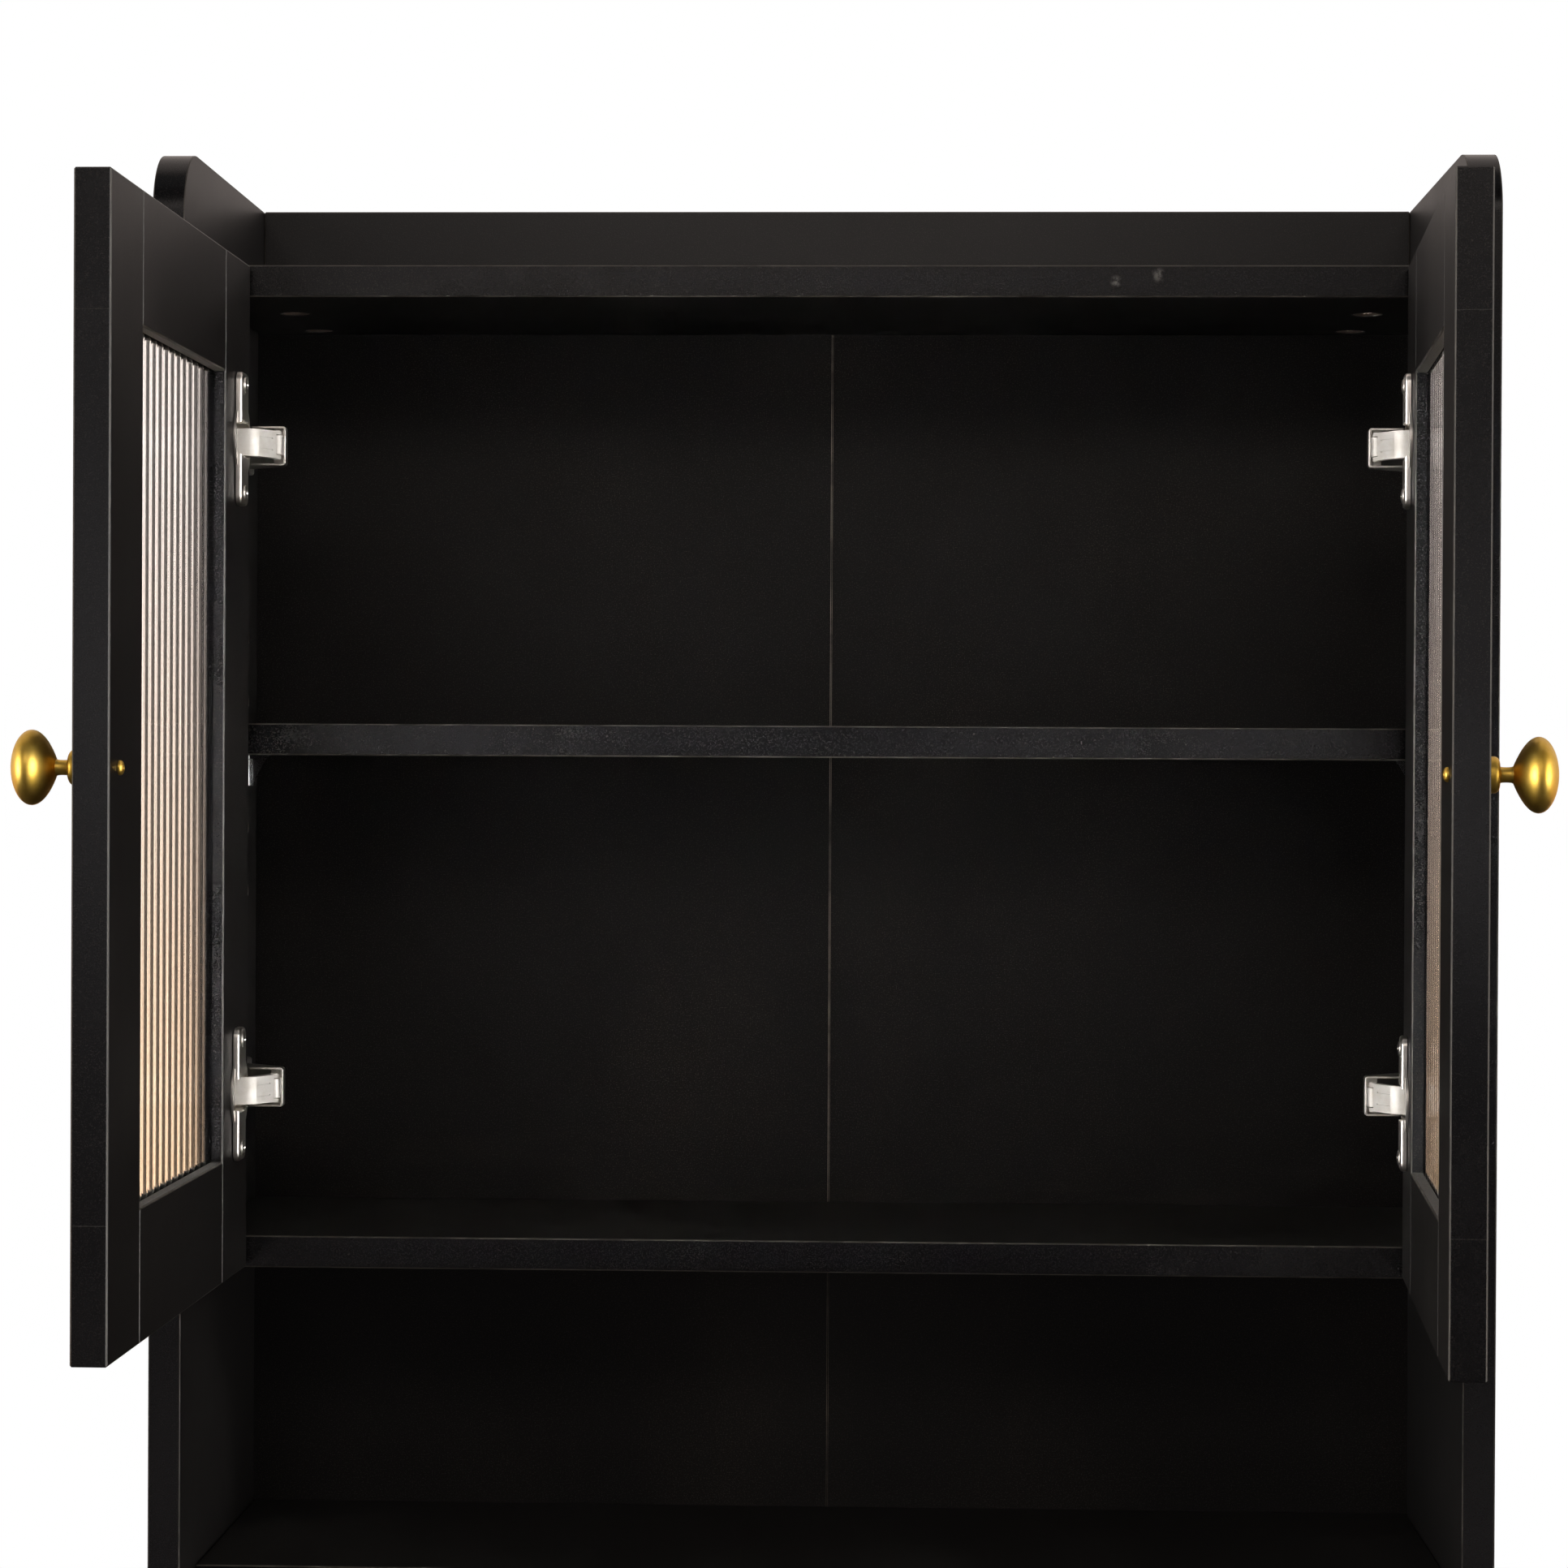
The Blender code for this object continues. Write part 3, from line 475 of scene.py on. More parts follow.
def cross_slot(radius, width, depth):
    """The tapered cross of a screwdriver's tip, sunk from just over height 0."""
    outline = []
    for turn in range(4):
        quarter = Matrix.Rotation(turn * math.pi / 2, 2)
        outline += [quarter @ Vector(point) for point in
                    ((radius, -width / 2), (radius, width / 2), (width / 2, width / 2))]
    form = prism(outline, -depth, depth / 2)
    for vert in form.verts:
        if vert.co.z < 0:
            vert.co.xy *= CROSS_TAPER
    return form


zinc = Finish("die-cast zinc", Metallic=1.0)
zinc.feed("Base Color", zinc.mix(zinc.noise(300.0, 3.0), ZINC_DARK, ZINC_LIGHT))
zinc.feed("Roughness", 0.34 + zinc.noise(900.0, 3.0) * 0.20)
zinc.feed("Normal", zinc.bump(zinc.noise(1500.0, 2.0), 0.00003, 0.6))

cam = turned([(0.0, -CAM_RIM_RISE), (CAM_FACE - CAM_RIM_RISE, -CAM_RIM_RISE), (CAM_FACE, 0.0),
              (CAM_RADIUS - CAM_RIM_RISE, 0.0), (CAM_RADIUS, -CAM_RIM_RISE), (CAM_RADIUS, -CAM_LENGTH),
              (0.0, -CAM_LENGTH)], CAM_STEPS)
cam = carved(cam, cross_slot(CAM_FACE / 2, CAM_SLOT, 2 * CAM_SLOT))
cam_places = []
for board in FIXED_BOARDS:
    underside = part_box(board)[0][2]
    for x in (CAM_FROM_SIDE - inside, inside - CAM_FROM_SIDE):
        for y in (front + CAM_FRONT, back - CAM_FROM_BACK):
            turn = Matrix.Rotation(x * y * CAM_TURN, 4, "Z")
            face_down = Matrix.Rotation(math.pi, 4, "X") @ turn
            cam_places.append(Matrix.Translation((x, y, underside + CAM_SINK)) @ face_down)
finished("cam_fasteners", copies(cam, cam_places), zinc, "carcass", "nickel_steel")


# The two back panels: 3 mm hardboard, painted black on the inside and slid into grooves.
# They meet in a seam at the middle, where the raw fibre shows as a thin broken pale line.
# Where the paint is thin, above the cupboard's floor most, the brown shows in faint clouds.
PAINT_BLACK = (0.0042, 0.0034, 0.0030, 1.0)
PAINT_WORN = (0.0150, 0.0115, 0.0090, 1.0)
FIBRE = (0.560, 0.490, 0.400, 1.0)
PAINT_SHEEN = 0.22
PAINT_GRAIN_SCALE = 1650.0
SEAM_REACH = 0.00055
TIDE_REACH = 0.070
TIDE_EDGE = 0.001

painted = Finish("painted hardboard", Specular_IOR_Level=PAINT_SHEEN)
painted_cloud = painted.noise(7.0, 6.0, 0.62, painted.stretched((1.0, 1.0, 0.55))).ramp(0.46, 0.74)
painted_grain = painted.noise(PAINT_GRAIN_SCALE)
over_floor = painted.along((0.0, 0.0, 1.0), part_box("upper_floor")[1][2])
near_floor = over_floor.ramp(TIDE_REACH, 0.0) * over_floor.ramp(-TIDE_EDGE, 0.0)
streaks = painted.noise(16.0, 4.0, 0.6, painted.stretched((0.5, 1.0, 3.0))).ramp(0.50, 0.72)
worn = painted_cloud * 0.5 + near_floor * streaks * 0.5
painted_pores = painted_grain.ramp(0.56, 0.66) * (0.50 + painted_cloud * 0.50)
painted_face = painted.mix(painted_pores, painted.mix(worn, PAINT_BLACK, PAINT_WORN), GRAIN_GREY)
seam = painted.along((1.0, 0.0, 0.0), 0.0).size().ramp(SEAM_REACH, SEAM_REACH * 0.6)
broken = painted.noise(28.0, 4.0, 0.7, painted.stretched((0.2, 0.2, 1.0))).ramp(0.36, 0.60)
painted.feed("Base Color", painted.mix(seam * (0.25 + 0.75 * broken), painted_face, FIBRE))
painted.feed("Roughness", 0.46 + painted_cloud * 0.10 + painted_grain * 0.06)
painted.feed("Normal", painted.bump(painted_grain, 0.00005, 0.5))
for name in ("back_left", "back_right"):
    dress(name, painted)


# Four clear moulded pegs hold the loose shelf. Each is an angle plate with a triangular
# web under it, and a round peg with a chamfered tip pushed into the side panel.
PEG_OUT = 0.010
PEG_HEIGHT = 0.0155
PEG_HALF_WIDTH = 0.0035
PEG_PLATE = 0.0018
PEG_WEB = 0.0018
PEG_RADIUS = 0.0023
PEG_LENGTH = 0.0086
PEG_TIP = 0.0006
PEG_DROP = 0.0043
PEG_PLAY = 0.0002
PEG_STEPS = 20
PEG_EDGE = 0.00025
PLASTIC_DIM = (0.86, 0.88, 0.89, 1.0)
PLASTIC_CLEAR = (0.94, 0.95, 0.95, 1.0)

plastic = Finish("clear moulded plastic", IOR=1.49, Transmission_Weight=1.0)
plastic.feed("Base Color", plastic.mix(plastic.noise(200.0), PLASTIC_DIM, PLASTIC_CLEAR))
plastic.feed("Roughness", 0.06 + plastic.noise(600.0) * 0.10)


def peg_form():
    """A peg whose plate lies in the plane X = 0 and whose shelf seat is at height 0."""
    angle = [(0.0, 0.0), (PEG_OUT, 0.0), (PEG_OUT, -PEG_PLATE), (PEG_PLATE, -PEG_PLATE),
             (PEG_PLATE, -PEG_HEIGHT), (0.0, -PEG_HEIGHT)]
    web = [(PEG_PLATE / 2, -PEG_PLATE / 2), (PEG_OUT - PEG_PLATE / 2, -PEG_PLATE / 2),
           (PEG_OUT - PEG_PLATE / 2, -PEG_PLATE), (PEG_PLATE, PEG_PLATE / 2 - PEG_HEIGHT),
           (PEG_PLATE / 2, PEG_PLATE / 2 - PEG_HEIGHT)]
    upright = Matrix.Rotation(math.pi / 2, 4, "X")
    form = moved(prism(angle, -PEG_HALF_WIDTH, PEG_HALF_WIDTH), upright)
    form = carved(form, moved(prism(web, -PEG_WEB / 2, PEG_WEB / 2), upright), "UNION")
    pin = turned([(0.0, PEG_PLATE / 2), (PEG_RADIUS, PEG_PLATE / 2),
                  (PEG_RADIUS, PEG_TIP - PEG_LENGTH), (PEG_RADIUS - PEG_TIP, -PEG_LENGTH),
                  (0.0, -PEG_LENGTH)], PEG_STEPS)
    stand = Matrix.Translation((0.0, 0.0, -PEG_DROP)) @ Matrix.Rotation(math.pi / 2, 4, "Y")
    return carved(form, moved(pin, stand), "UNION")


for side, hand in (("left", -1), ("right", 1)):
    for row in ("front", "back"):
        node = f"shelf_peg_{side}_{row}"
        low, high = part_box(node)
        wall = hand * (inside - PEG_PLAY)
        stand = Matrix.Translation((wall, (low[1] + high[1]) / 2, high[2]))
        place = stand @ Matrix.Diagonal((-hand, 1.0, 1.0, 1.0))
        finished(f"clear_peg_{side}_{row}", moved(peg_form(), place), plastic, "carcass",
                 "clear_plastic", node, rounding=PEG_EDGE)


# The glazed doors: stiles and rails of the same board, dowelled and grooved round the
# pane. Both stand open, so each door has its own axes, turned about its hinge pins. The
# rails' sawn edges round the pane are painted as thin pale lips: partly dust, partly a
# painted sheen of the bright light seen through the glass.
DOOR_THICK = 0.015
DOOR_WIDTH = 0.291
STILE = 0.0583
RAIL = 0.0556
CUP_PIN_FROM_EDGE = 0.01205
CUP_PIN_DEPTH = 0.0046
LEFT_DOOR_OPEN = 90.3
RIGHT_DOOR_OPEN = 86.1


class Door:
    """Where one door stands at rest, and the pins it turns on."""

    def __init__(self, name, hand, degrees, lowest, highest):
        pins = {joint["name"]: Vector(joint["pos_m"]).xy for joint in frame["joints"]}
        self.name = name
        self.hand = hand
        self.arm_pin = pins[name + "_link"]
        self.cup_pin = pins[name + "_door"]
        self.turn = Matrix.Rotation(math.radians(hand * degrees), 4, "Z")
        self.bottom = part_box(f"{name}_{lowest}")[0][2]
        self.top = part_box(f"{name}_{highest}")[1][2]

    def place(self, from_edge, depth, z):
        """Axes at a point of the door: X to the free edge, Y to the outer face, Z up."""
        local = Matrix.Translation((CUP_PIN_FROM_EDGE - from_edge, CUP_PIN_DEPTH - depth, 0.0))
        mirror = Matrix.Diagonal((-1.0, -1.0, 1.0, 1.0))
        hand = Matrix.Diagonal((self.hand, 1.0, 1.0, 1.0))
        pin = Matrix.Translation((*self.cup_pin, z))
        return pin @ self.turn @ hand @ local @ mirror

    def laminate(self):
        """The door's boards share the planes of their two faces."""
        across = (self.turn @ Vector((0.0, -1.0, 0.0))).normalized()
        inner = self.place(0.0, 0.0, 0.0).translation.dot(across)
        lips = (self.bottom + RAIL, self.top - RAIL)
        return laminate(self.name + " boards", across, inner, lips=lips)


doors = {
    "upper_left": Door("upper_left", -1, LEFT_DOOR_OPEN, "bottom_rail", "top_rail"),
    "upper_right": Door("upper_right", 1, RIGHT_DOOR_OPEN, "bottom_rail", "top_rail"),
    "lower_left": Door("lower_left", -1, 0.0, "frame", "frame"),
    "lower_right": Door("lower_right", 1, 0.0, "frame", "frame"),
}
for name in ("upper_left", "upper_right"):
    boards = doors[name].laminate()
    for part in ("hinge_stile", "free_stile", "top_rail", "bottom_rail"):
        dress(f"{name}_{part}", boards)


# The panes: clear rolled glass, flat outside and pressed into rounded ribs inside, held
# loose in the groove of the frame.
GLASS_THICK = 0.004
GLASS_FROM_INSIDE = 0.0055
GLASS_IN_GROOVE = 0.0054
RIB_PITCH = 0.0123
RIB_RISE = 0.0009
RIB_ROUND = 0.8
RIB_STEPS = 12
GLASS_DIM = (0.955, 0.965, 0.955, 1.0)
GLASS_CLEAR = (0.985, 0.99, 0.985, 1.0)

glass = Finish("fluted glass", IOR=1.5, Transmission_Weight=1.0)
ripple = glass.noise(90.0, where=glass.stretched((1.0, 1.0, 0.10)))
glass.feed("Base Color", glass.mix(glass.noise(9.0), GLASS_DIM, GLASS_CLEAR))
glass.feed("Roughness", 0.02 + glass.noise(35.0, 4.0, 0.6).ramp(0.35, 0.75) * 0.05)
glass.feed("Normal", glass.bump(ripple, 0.0001, 0.10))


def pane(door):
    """The ribs run up the pane, on the side that faces in when the door is shut."""
    half = DOOR_WIDTH / 2 - STILE + GLASS_IN_GROOVE
    steps = round(2 * half / RIB_PITCH) * RIB_STEPS
    outline = [(half, GLASS_THICK), (-half, GLASS_THICK)]
    for step in range(steps + 1):
        swell = abs(math.sin(math.pi * step / RIB_STEPS)) ** RIB_ROUND
        outline.append((half * (2 * step / steps - 1), RIB_RISE * (1 - swell)))
    low = door.bottom + RAIL - GLASS_IN_GROOVE
    high = door.top - RAIL + GLASS_IN_GROOVE
    form = moved(prism(outline, low, high), door.place(DOOR_WIDTH / 2, GLASS_FROM_INSIDE, 0.0))
    finished(door.name + "_pane", form, glass, door.name + "_door", "fluted_glass",
             door.name + "_glass")


for name in ("upper_left", "upper_right"):
    pane(doors[name])


# The lower doors, closed: a flat frame of the same board each, with a thin panel held in
# a groove of the frame and set back from its face.
for name in ("lower_left_frame", "lower_left_panel", "lower_right_frame", "lower_right_panel"):
    dress_board(name)


# The knobs: turned brass, satin finished and lacquered. A machine screw with a domed
# cross head passes through the free stile from inside.
KNOB_INSET = 0.016
KNOB_BASE_RADIUS = 0.0072
KNOB_BASE_THICK = 0.0045
KNOB_BASE_ROUND = 0.00225
KNOB_STEM_RADIUS = 0.0033
KNOB_WAIST_RADIUS = 0.0030
KNOB_STEM_LENGTH = 0.0052
KNOB_HEAD_RADIUS = 0.015
KNOB_CONE_LENGTH = 0.0099
KNOB_DOME_LENGTH = 0.0077
KNOB_CURVE_STEPS = 14
KNOB_TURN_STEPS = 72
KNOB_EDGE_STEPS = 8
KNOB_FILLET = 0.0003
KNOB_CHAMFER = 0.0002
KNOB_SEAT = 0.0003
WAIST_REACH = 0.45
WAIST_TURN = 85.0
BOLT_RADIUS = 0.0019
BOLT_HEAD_RADIUS = 0.0030
BOLT_HEAD_RISE = 0.0021
SCREW_STEPS = 32
HEAD_RIM_SHARE = 0.25
CROSS_REACH = 0.62
CROSS_WIDTH = 0.24
CROSS_DEPTH = 0.75
BRASS_LIGHT = (0.82, 0.54, 0.11, 1.0)
BRASS_DARK = (0.70, 0.43, 0.06, 1.0)

brass = Finish("satin brass", Metallic=1.0)
brass_cloud = brass.noise(110.0, 5.0, 0.6).ramp(0.38, 0.72)
brass.feed("Base Color", brass.mix(brass_cloud, BRASS_LIGHT, BRASS_DARK))
brass.feed("Roughness", 0.38 + brass_cloud * 0.06 + brass.noise(900.0, 3.0) * 0.06)
brass.feed("Normal", brass.bump(brass.noise(420.0, 4.0, 0.6), 0.00004, 0.20))


def rounded(radius, height, reach, rise, first, last, steps):
    """Points of an elliptical arc about a radius and height, between two angles."""
    angles = [math.radians(first + (last - first) * step / steps) for step in range(steps + 1)]
    return [(radius + reach * math.cos(angle), height + rise * math.sin(angle))
            for angle in angles]


def screw_head(radius, rise, shank_radius, shank_length):
    """A domed head with a cross slot over height 0, and its plain shank under it."""
    rim = HEAD_RIM_SHARE * rise
    profile = rounded(0.0, rim, radius, rise - rim, 90.0, 0.0, KNOB_EDGE_STEPS)
    profile[0] = (0.0, rise)
    profile += [(radius, 0.0), (shank_radius, 0.0), (shank_radius, -shank_length),
                (0.0, -shank_length)]
    cross = cross_slot(radius * CROSS_REACH, radius * CROSS_WIDTH, rise * CROSS_DEPTH)
    return carved(turned(profile, SCREW_STEPS), moved(cross, Matrix.Translation((0.0, 0.0, rise))))


def knob(door):
    """A domed head on a bellied cone, a waisted stem and a round foot, turned in one piece."""
    widest = KNOB_BASE_THICK + KNOB_STEM_LENGTH + KNOB_CONE_LENGTH
    profile = rounded(0.0, widest, KNOB_HEAD_RADIUS, KNOB_DOME_LENGTH, 90.0, 0.0, KNOB_CURVE_STEPS)
    profile[0] = (0.0, widest + KNOB_DOME_LENGTH)
    for step in range(1, KNOB_CURVE_STEPS + 1):
        share = step / KNOB_CURVE_STEPS
        swell = (KNOB_HEAD_RADIUS - KNOB_STEM_RADIUS) * (1 - share ** 2)
        profile.append((KNOB_STEM_RADIUS + swell, widest - share * KNOB_CONE_LENGTH))
    waist = KNOB_BASE_THICK + KNOB_STEM_LENGTH / 2
    profile += rounded(KNOB_STEM_RADIUS, waist, KNOB_WAIST_RADIUS - KNOB_STEM_RADIUS,
                       WAIST_REACH * KNOB_STEM_LENGTH, WAIST_TURN, -WAIST_TURN, KNOB_EDGE_STEPS)
    shoulder = KNOB_BASE_THICK - KNOB_BASE_ROUND
    profile += [(KNOB_STEM_RADIUS + KNOB_FILLET, KNOB_BASE_THICK)]
    profile += rounded(KNOB_BASE_RADIUS - KNOB_BASE_ROUND, shoulder, KNOB_BASE_ROUND, KNOB_BASE_ROUND,
                       90.0, 0.0, KNOB_EDGE_STEPS)
    profile += [(KNOB_BASE_RADIUS, KNOB_SEAT + KNOB_CHAMFER),
                (KNOB_BASE_RADIUS - KNOB_CHAMFER, KNOB_SEAT), (0.0, KNOB_SEAT)]
    height = (door.bottom + door.top) / 2
    from_edge = DOOR_WIDTH - KNOB_INSET
    outside = door.place(from_edge, DOOR_THICK, height) @ Matrix.Rotation(-math.pi / 2, 4, "X")
    inside_face = door.place(from_edge, -KNOB_SEAT, height) @ Matrix.Rotation(math.pi / 2, 4, "X")
    body = door.name + "_door"
    finished(door.name + "_turned_knob", moved(turned(profile, KNOB_TURN_STEPS), outside), brass,
             body, "satin_brass", door.name + "_knob")
    bolt = screw_head(BOLT_HEAD_RADIUS, BOLT_HEAD_RISE, BOLT_RADIUS, DOOR_THICK)
    finished(door.name + "_knob_bolt", moved(bolt, inside_face), brass, body, "satin_brass")


for door in doors.values():
    knob(door)


# The concealed hinges, two to a door, of pressed and nickel-plated steel. A deep round
# cup with a long flange is screwed into the back of the stile.
HINGE_FROM_END = 0.084
CUP_RADIUS = 0.0175
CUP_CENTRE = 0.0225
CUP_DEPTH = 0.0112
CUP_WALL = 0.0007
CUP_LIP_RADIUS = 0.0187
CUP_LIP = 0.0010
CUP_SEAT = 0.0003
POCKET_NEAR = 0.0075
POCKET_FAR = 0.0375
POCKET_HALF_WIDTH = 0.0082
POCKET_CORNER = 0.0035
FLANGE_HALF_LENGTH = 0.0308
FLANGE_NEAR = 0.0195
FLANGE_FAR = 0.0365
FLANGE_CORNER = 0.0045
FLANGE_THICK = 0.0030
FLANGE_LIFT = 0.0002
FLANGE_EASE = 0.0013
FLANGE_SCREW = 0.0250
FLANGE_SCREW_RADIUS = 0.0036
FLANGE_SCREW_RISE = 0.0011
PIN_RADIUS = 0.0012
PIN_STEPS = 20
CUP_STEPS = 56
CORNER_STEPS = 6
FLANGE_STEPS = 5
LENGTHWISE = 0.9
PRESSED_EDGE = 0.0003
POLISHED_ROUGHNESS = 0.30
NICKEL_BRIGHT = (0.94, 0.91, 0.86, 1.0)
NICKEL_CLOUD = (0.84, 0.80, 0.74, 1.0)


def plated(name, roughness, light, dark):
    """Bright plating with a faint cloud of wear and a trace of the pressed steel under it."""
    metal = Finish(name, Metallic=1.0)
    cloud = metal.noise(120.0, 4.0, 0.6).ramp(0.35, 0.70)
    metal.feed("Base Color", metal.mix(cloud, light, dark))
    metal.feed("Roughness", roughness + cloud * 0.10 + metal.noise(700.0, 3.0) * 0.05)
    metal.feed("Normal", metal.bump(metal.noise(500.0, 3.0), 0.00003, 0.3))
    return metal


polished = plated("polished nickel", POLISHED_ROUGHNESS, NICKEL_BRIGHT, NICKEL_CLOUD)


def rounded_block(x, y, z, radius, axis):
    """A box whose four edges along one axis are rounded."""
    form = block(x, y, z)
    lengthwise = [edge for edge in form.edges
                  if abs((edge.verts[1].co - edge.verts[0].co).normalized()[axis]) > LENGTHWISE]
    eased(form, lengthwise, radius, CORNER_STEPS)
    return form


def hinge_cup(door, label, z):
    """In the door's own axes X is the distance from its hinge edge and Y runs into it."""
    flange = rounded_block((FLANGE_NEAR, FLANGE_FAR),
                           (-CUP_SEAT - FLANGE_THICK, -CUP_SEAT - FLANGE_LIFT),
                           (-FLANGE_HALF_LENGTH, FLANGE_HALF_LENGTH), FLANGE_CORNER, 1)
    outer = [edge for edge in flange.edges if all(vert.co.y < -FLANGE_THICK for vert in edge.verts)]
    eased(flange, outer, FLANGE_EASE, FLANGE_STEPS)
    lip_middle = (CUP_CENTRE, -CUP_SEAT - CUP_LIP / 2, 0.0)
    lip_dust_and_sheen = cylinder(CUP_LIP_RADIUS, CUP_LIP, lip_middle, "Y", CUP_STEPS)
    wall_depth = CUP_DEPTH - CUP_SEAT + CUP_LIP / 2
    wall_middle = (CUP_CENTRE, (CUP_DEPTH - 2 * CUP_SEAT - CUP_LIP / 2) / 2, 0.0)
    wall = cylinder(CUP_RADIUS, wall_depth, wall_middle, "Y", CUP_STEPS)
    form = carved(carved(flange, lip_dust_and_sheen, "UNION"), wall, "UNION")
    pocket = rounded_block((POCKET_NEAR, POCKET_FAR),
                           (-2 * FLANGE_THICK, CUP_DEPTH - CUP_SEAT - CUP_WALL),
                           (-POCKET_HALF_WIDTH, POCKET_HALF_WIDTH), POCKET_CORNER, 1)
    form = carved(form, pocket)
    pin_middle = (CUP_PIN_FROM_EDGE, CUP_PIN_DEPTH, 0.0)
    pin = cylinder(PIN_RADIUS, 2 * POCKET_HALF_WIDTH + CUP_WALL, pin_middle, "Z", PIN_STEPS)
    form = carved(form, pin, "UNION")
    body = door.name + "_door"
    place = door.place(0.0, 0.0, z)
    finished(f"{door.name}_{label}_pressed_cup", moved(form, place), polished, body, "nickel_steel",
             f"{door.name}_{label}_cup", rounding=PRESSED_EDGE)
    face = (FLANGE_NEAR + FLANGE_FAR) / 2
    screw = screw_head(FLANGE_SCREW_RADIUS, FLANGE_SCREW_RISE, PIN_RADIUS, FLANGE_THICK)
    out = Matrix.Rotation(math.pi / 2, 4, "X")
    spots = [place @ Matrix.Translation((face, -CUP_SEAT - FLANGE_THICK, up)) @ out
             for up in (FLANGE_SCREW, -FLANGE_SCREW)]
    finished(f"{door.name}_{label}_cup_screws", copies(screw, spots), polished, body, "nickel_steel")


# The cranked link turns on a pin in the cup and another in the arm. Two short slots are
# pressed along its outer face to stiffen it.
LINK_ELBOW_SHARE = 0.715
LINK_ELBOW_OUT = 0.0054
LINK_HALF_THICK = 0.0022
LINK_HALF_WIDTH = 0.0064
LINK_SLOT_HALF_LENGTH = 0.0050
LINK_SLOT_SHARE = 0.60
LINK_SLOT_WIDTH = 0.0005
LINK_SLOT_DEPTH = 0.0006
LINK_SLOT_APART = 0.0027
FORK_RADIUS = 0.0036
FORK_HALF_WIDTH = 0.0048
FORK_STEPS = 32
RIVET_RADIUS = 0.0019
RIVET_RISE = 0.0004
RIVET_STEPS = 24
RIVET_EDGE = 0.0001
ELBOW_BACK = 0.35
END_ROUND = 0.9
END_REACH = 1.1
MITRE_LIMIT = 0.5
SATIN_ROUGHNESS = 0.60
SATIN_BRIGHT = (0.95, 0.93, 0.89, 1.0)
SATIN_CLOUD = (0.88, 0.85, 0.80, 1.0)

satin = plated("satin nickel", SATIN_ROUGHNESS, SATIN_BRIGHT, SATIN_CLOUD)


def strip_sides(path, half):
    """Outline of a strip of even thickness along a path, with mitred bends."""
    steps = [(after - before).normalized() for before, after in zip(path, path[1:])]
    left, right = [], []
    for place, point in enumerate(path):
        before, after = steps[max(place - 1, 0)], steps[min(place, len(steps) - 1)]
        middle = (before + after).normalized()
        across = Vector((-middle.y, middle.x)) * half / max(middle.dot(after), MITRE_LIMIT)
        left.append(point + across)
        right.append(point - across)
    return right + left[::-1]


def hinge_link(door, label, z):
    """The link's axes stand on the arm's pin. Its elbow bends round the door's edge."""
    reach = door.cup_pin - door.arm_pin
    across = Vector((-reach.y, reach.x)).normalized() * -door.hand
    elbow = reach * LINK_ELBOW_SHARE + across * LINK_ELBOW_OUT
    first, last = elbow.normalized(), (reach - elbow).normalized()
    bend = [elbow - first * LINK_HALF_THICK, elbow - (first - last) * ELBOW_BACK * LINK_HALF_THICK,
            elbow + last * LINK_HALF_THICK]
    end_radius = END_ROUND * LINK_HALF_THICK
    path = [-first * end_radius, *bend, reach + last * end_radius]
    form = prism(strip_sides(path, LINK_HALF_THICK), -LINK_HALF_WIDTH, LINK_HALF_WIDTH)
    upright = [edge for edge in form.edges
               if abs(edge.verts[0].co.z - edge.verts[1].co.z) > LINK_HALF_WIDTH]
    tips = [edge for edge in upright
            if min((edge.verts[0].co.xy - tip).length for tip in (path[0], path[-1]))
            < END_REACH * LINK_HALF_THICK]
    eased(form, tips, end_radius, CORNER_STEPS)
    fork = cylinder(FORK_RADIUS, 2 * FORK_HALF_WIDTH, (0.0, 0.0, 0.0), "Z", FORK_STEPS)
    form = carved(form, fork)
    outward = Vector((-first.y, first.x))
    if outward.dot(across) < 0:
        outward = -outward
    face = elbow * LINK_SLOT_SHARE + outward * LINK_HALF_THICK
    run = Matrix.Rotation(math.atan2(first.y, first.x), 4, "Z")
    for up in (-LINK_SLOT_APART, LINK_SLOT_APART):
        slot = block((-LINK_SLOT_HALF_LENGTH, LINK_SLOT_HALF_LENGTH),
                     (-LINK_SLOT_DEPTH, LINK_SLOT_DEPTH),
                     (-LINK_SLOT_WIDTH / 2, LINK_SLOT_WIDTH / 2))
        form = carved(form, moved(slot, Matrix.Translation((*face, up)) @ run))
    body = door.name + "_links"
    stand = Matrix.Translation((*door.arm_pin, z))
    finished(f"{door.name}_{label}_cranked_link", moved(form, stand), satin, body, "nickel_steel",
             f"{door.name}_{label}_link", rounding=PRESSED_EDGE)
    rivet = cylinder(RIVET_RADIUS, RIVET_RISE, (0.0, 0.0, 0.0), "Z", RIVET_STEPS)
    ends = [stand @ Matrix.Translation((0.0, 0.0, side * (LINK_HALF_WIDTH + RIVET_RISE / 2)))
            for side in (-1, 1)]
    finished(f"{door.name}_{label}_link_rivets", copies(rivet, ends), satin, body, "nickel_steel",
             rounding=RIVET_EDGE)


# The arm is a pressed channel that carries the link's pin in its mouth. It is clamped by
# two machine screws to a plate, and the plate is screwed to the side panel.
ARM_START = 0.0028
ARM_HALF_WIDTH = 0.0093
ARM_SHEET = 0.0011
ARM_TOP = 0.0405
ARM_MOUTH_DEPTH = 0.016
ARM_CRANK_START = 0.010
ARM_CRANK_END = 0.032
ARM_TAIL_TOP = 0.0145
ARM_LENGTH = 0.066
ARM_BEND = 0.0014
ARM_SCREWS = (0.0385, 0.0565)
ARM_SCREW_RADIUS = 0.0034
ARM_SCREW_RISE = 0.0016
ARM_BEND_STEPS = 4
ARM_EDGE = 0.00025
NOSE_RADIUS = 0.0028
NOSE_HALF_WIDTH = 0.0044
NOSE_TRIM = 0.0001
NOSE_STEPS = 32
NOSE_EDGE = 0.0002
MOUNT_PLATE = 0.0022
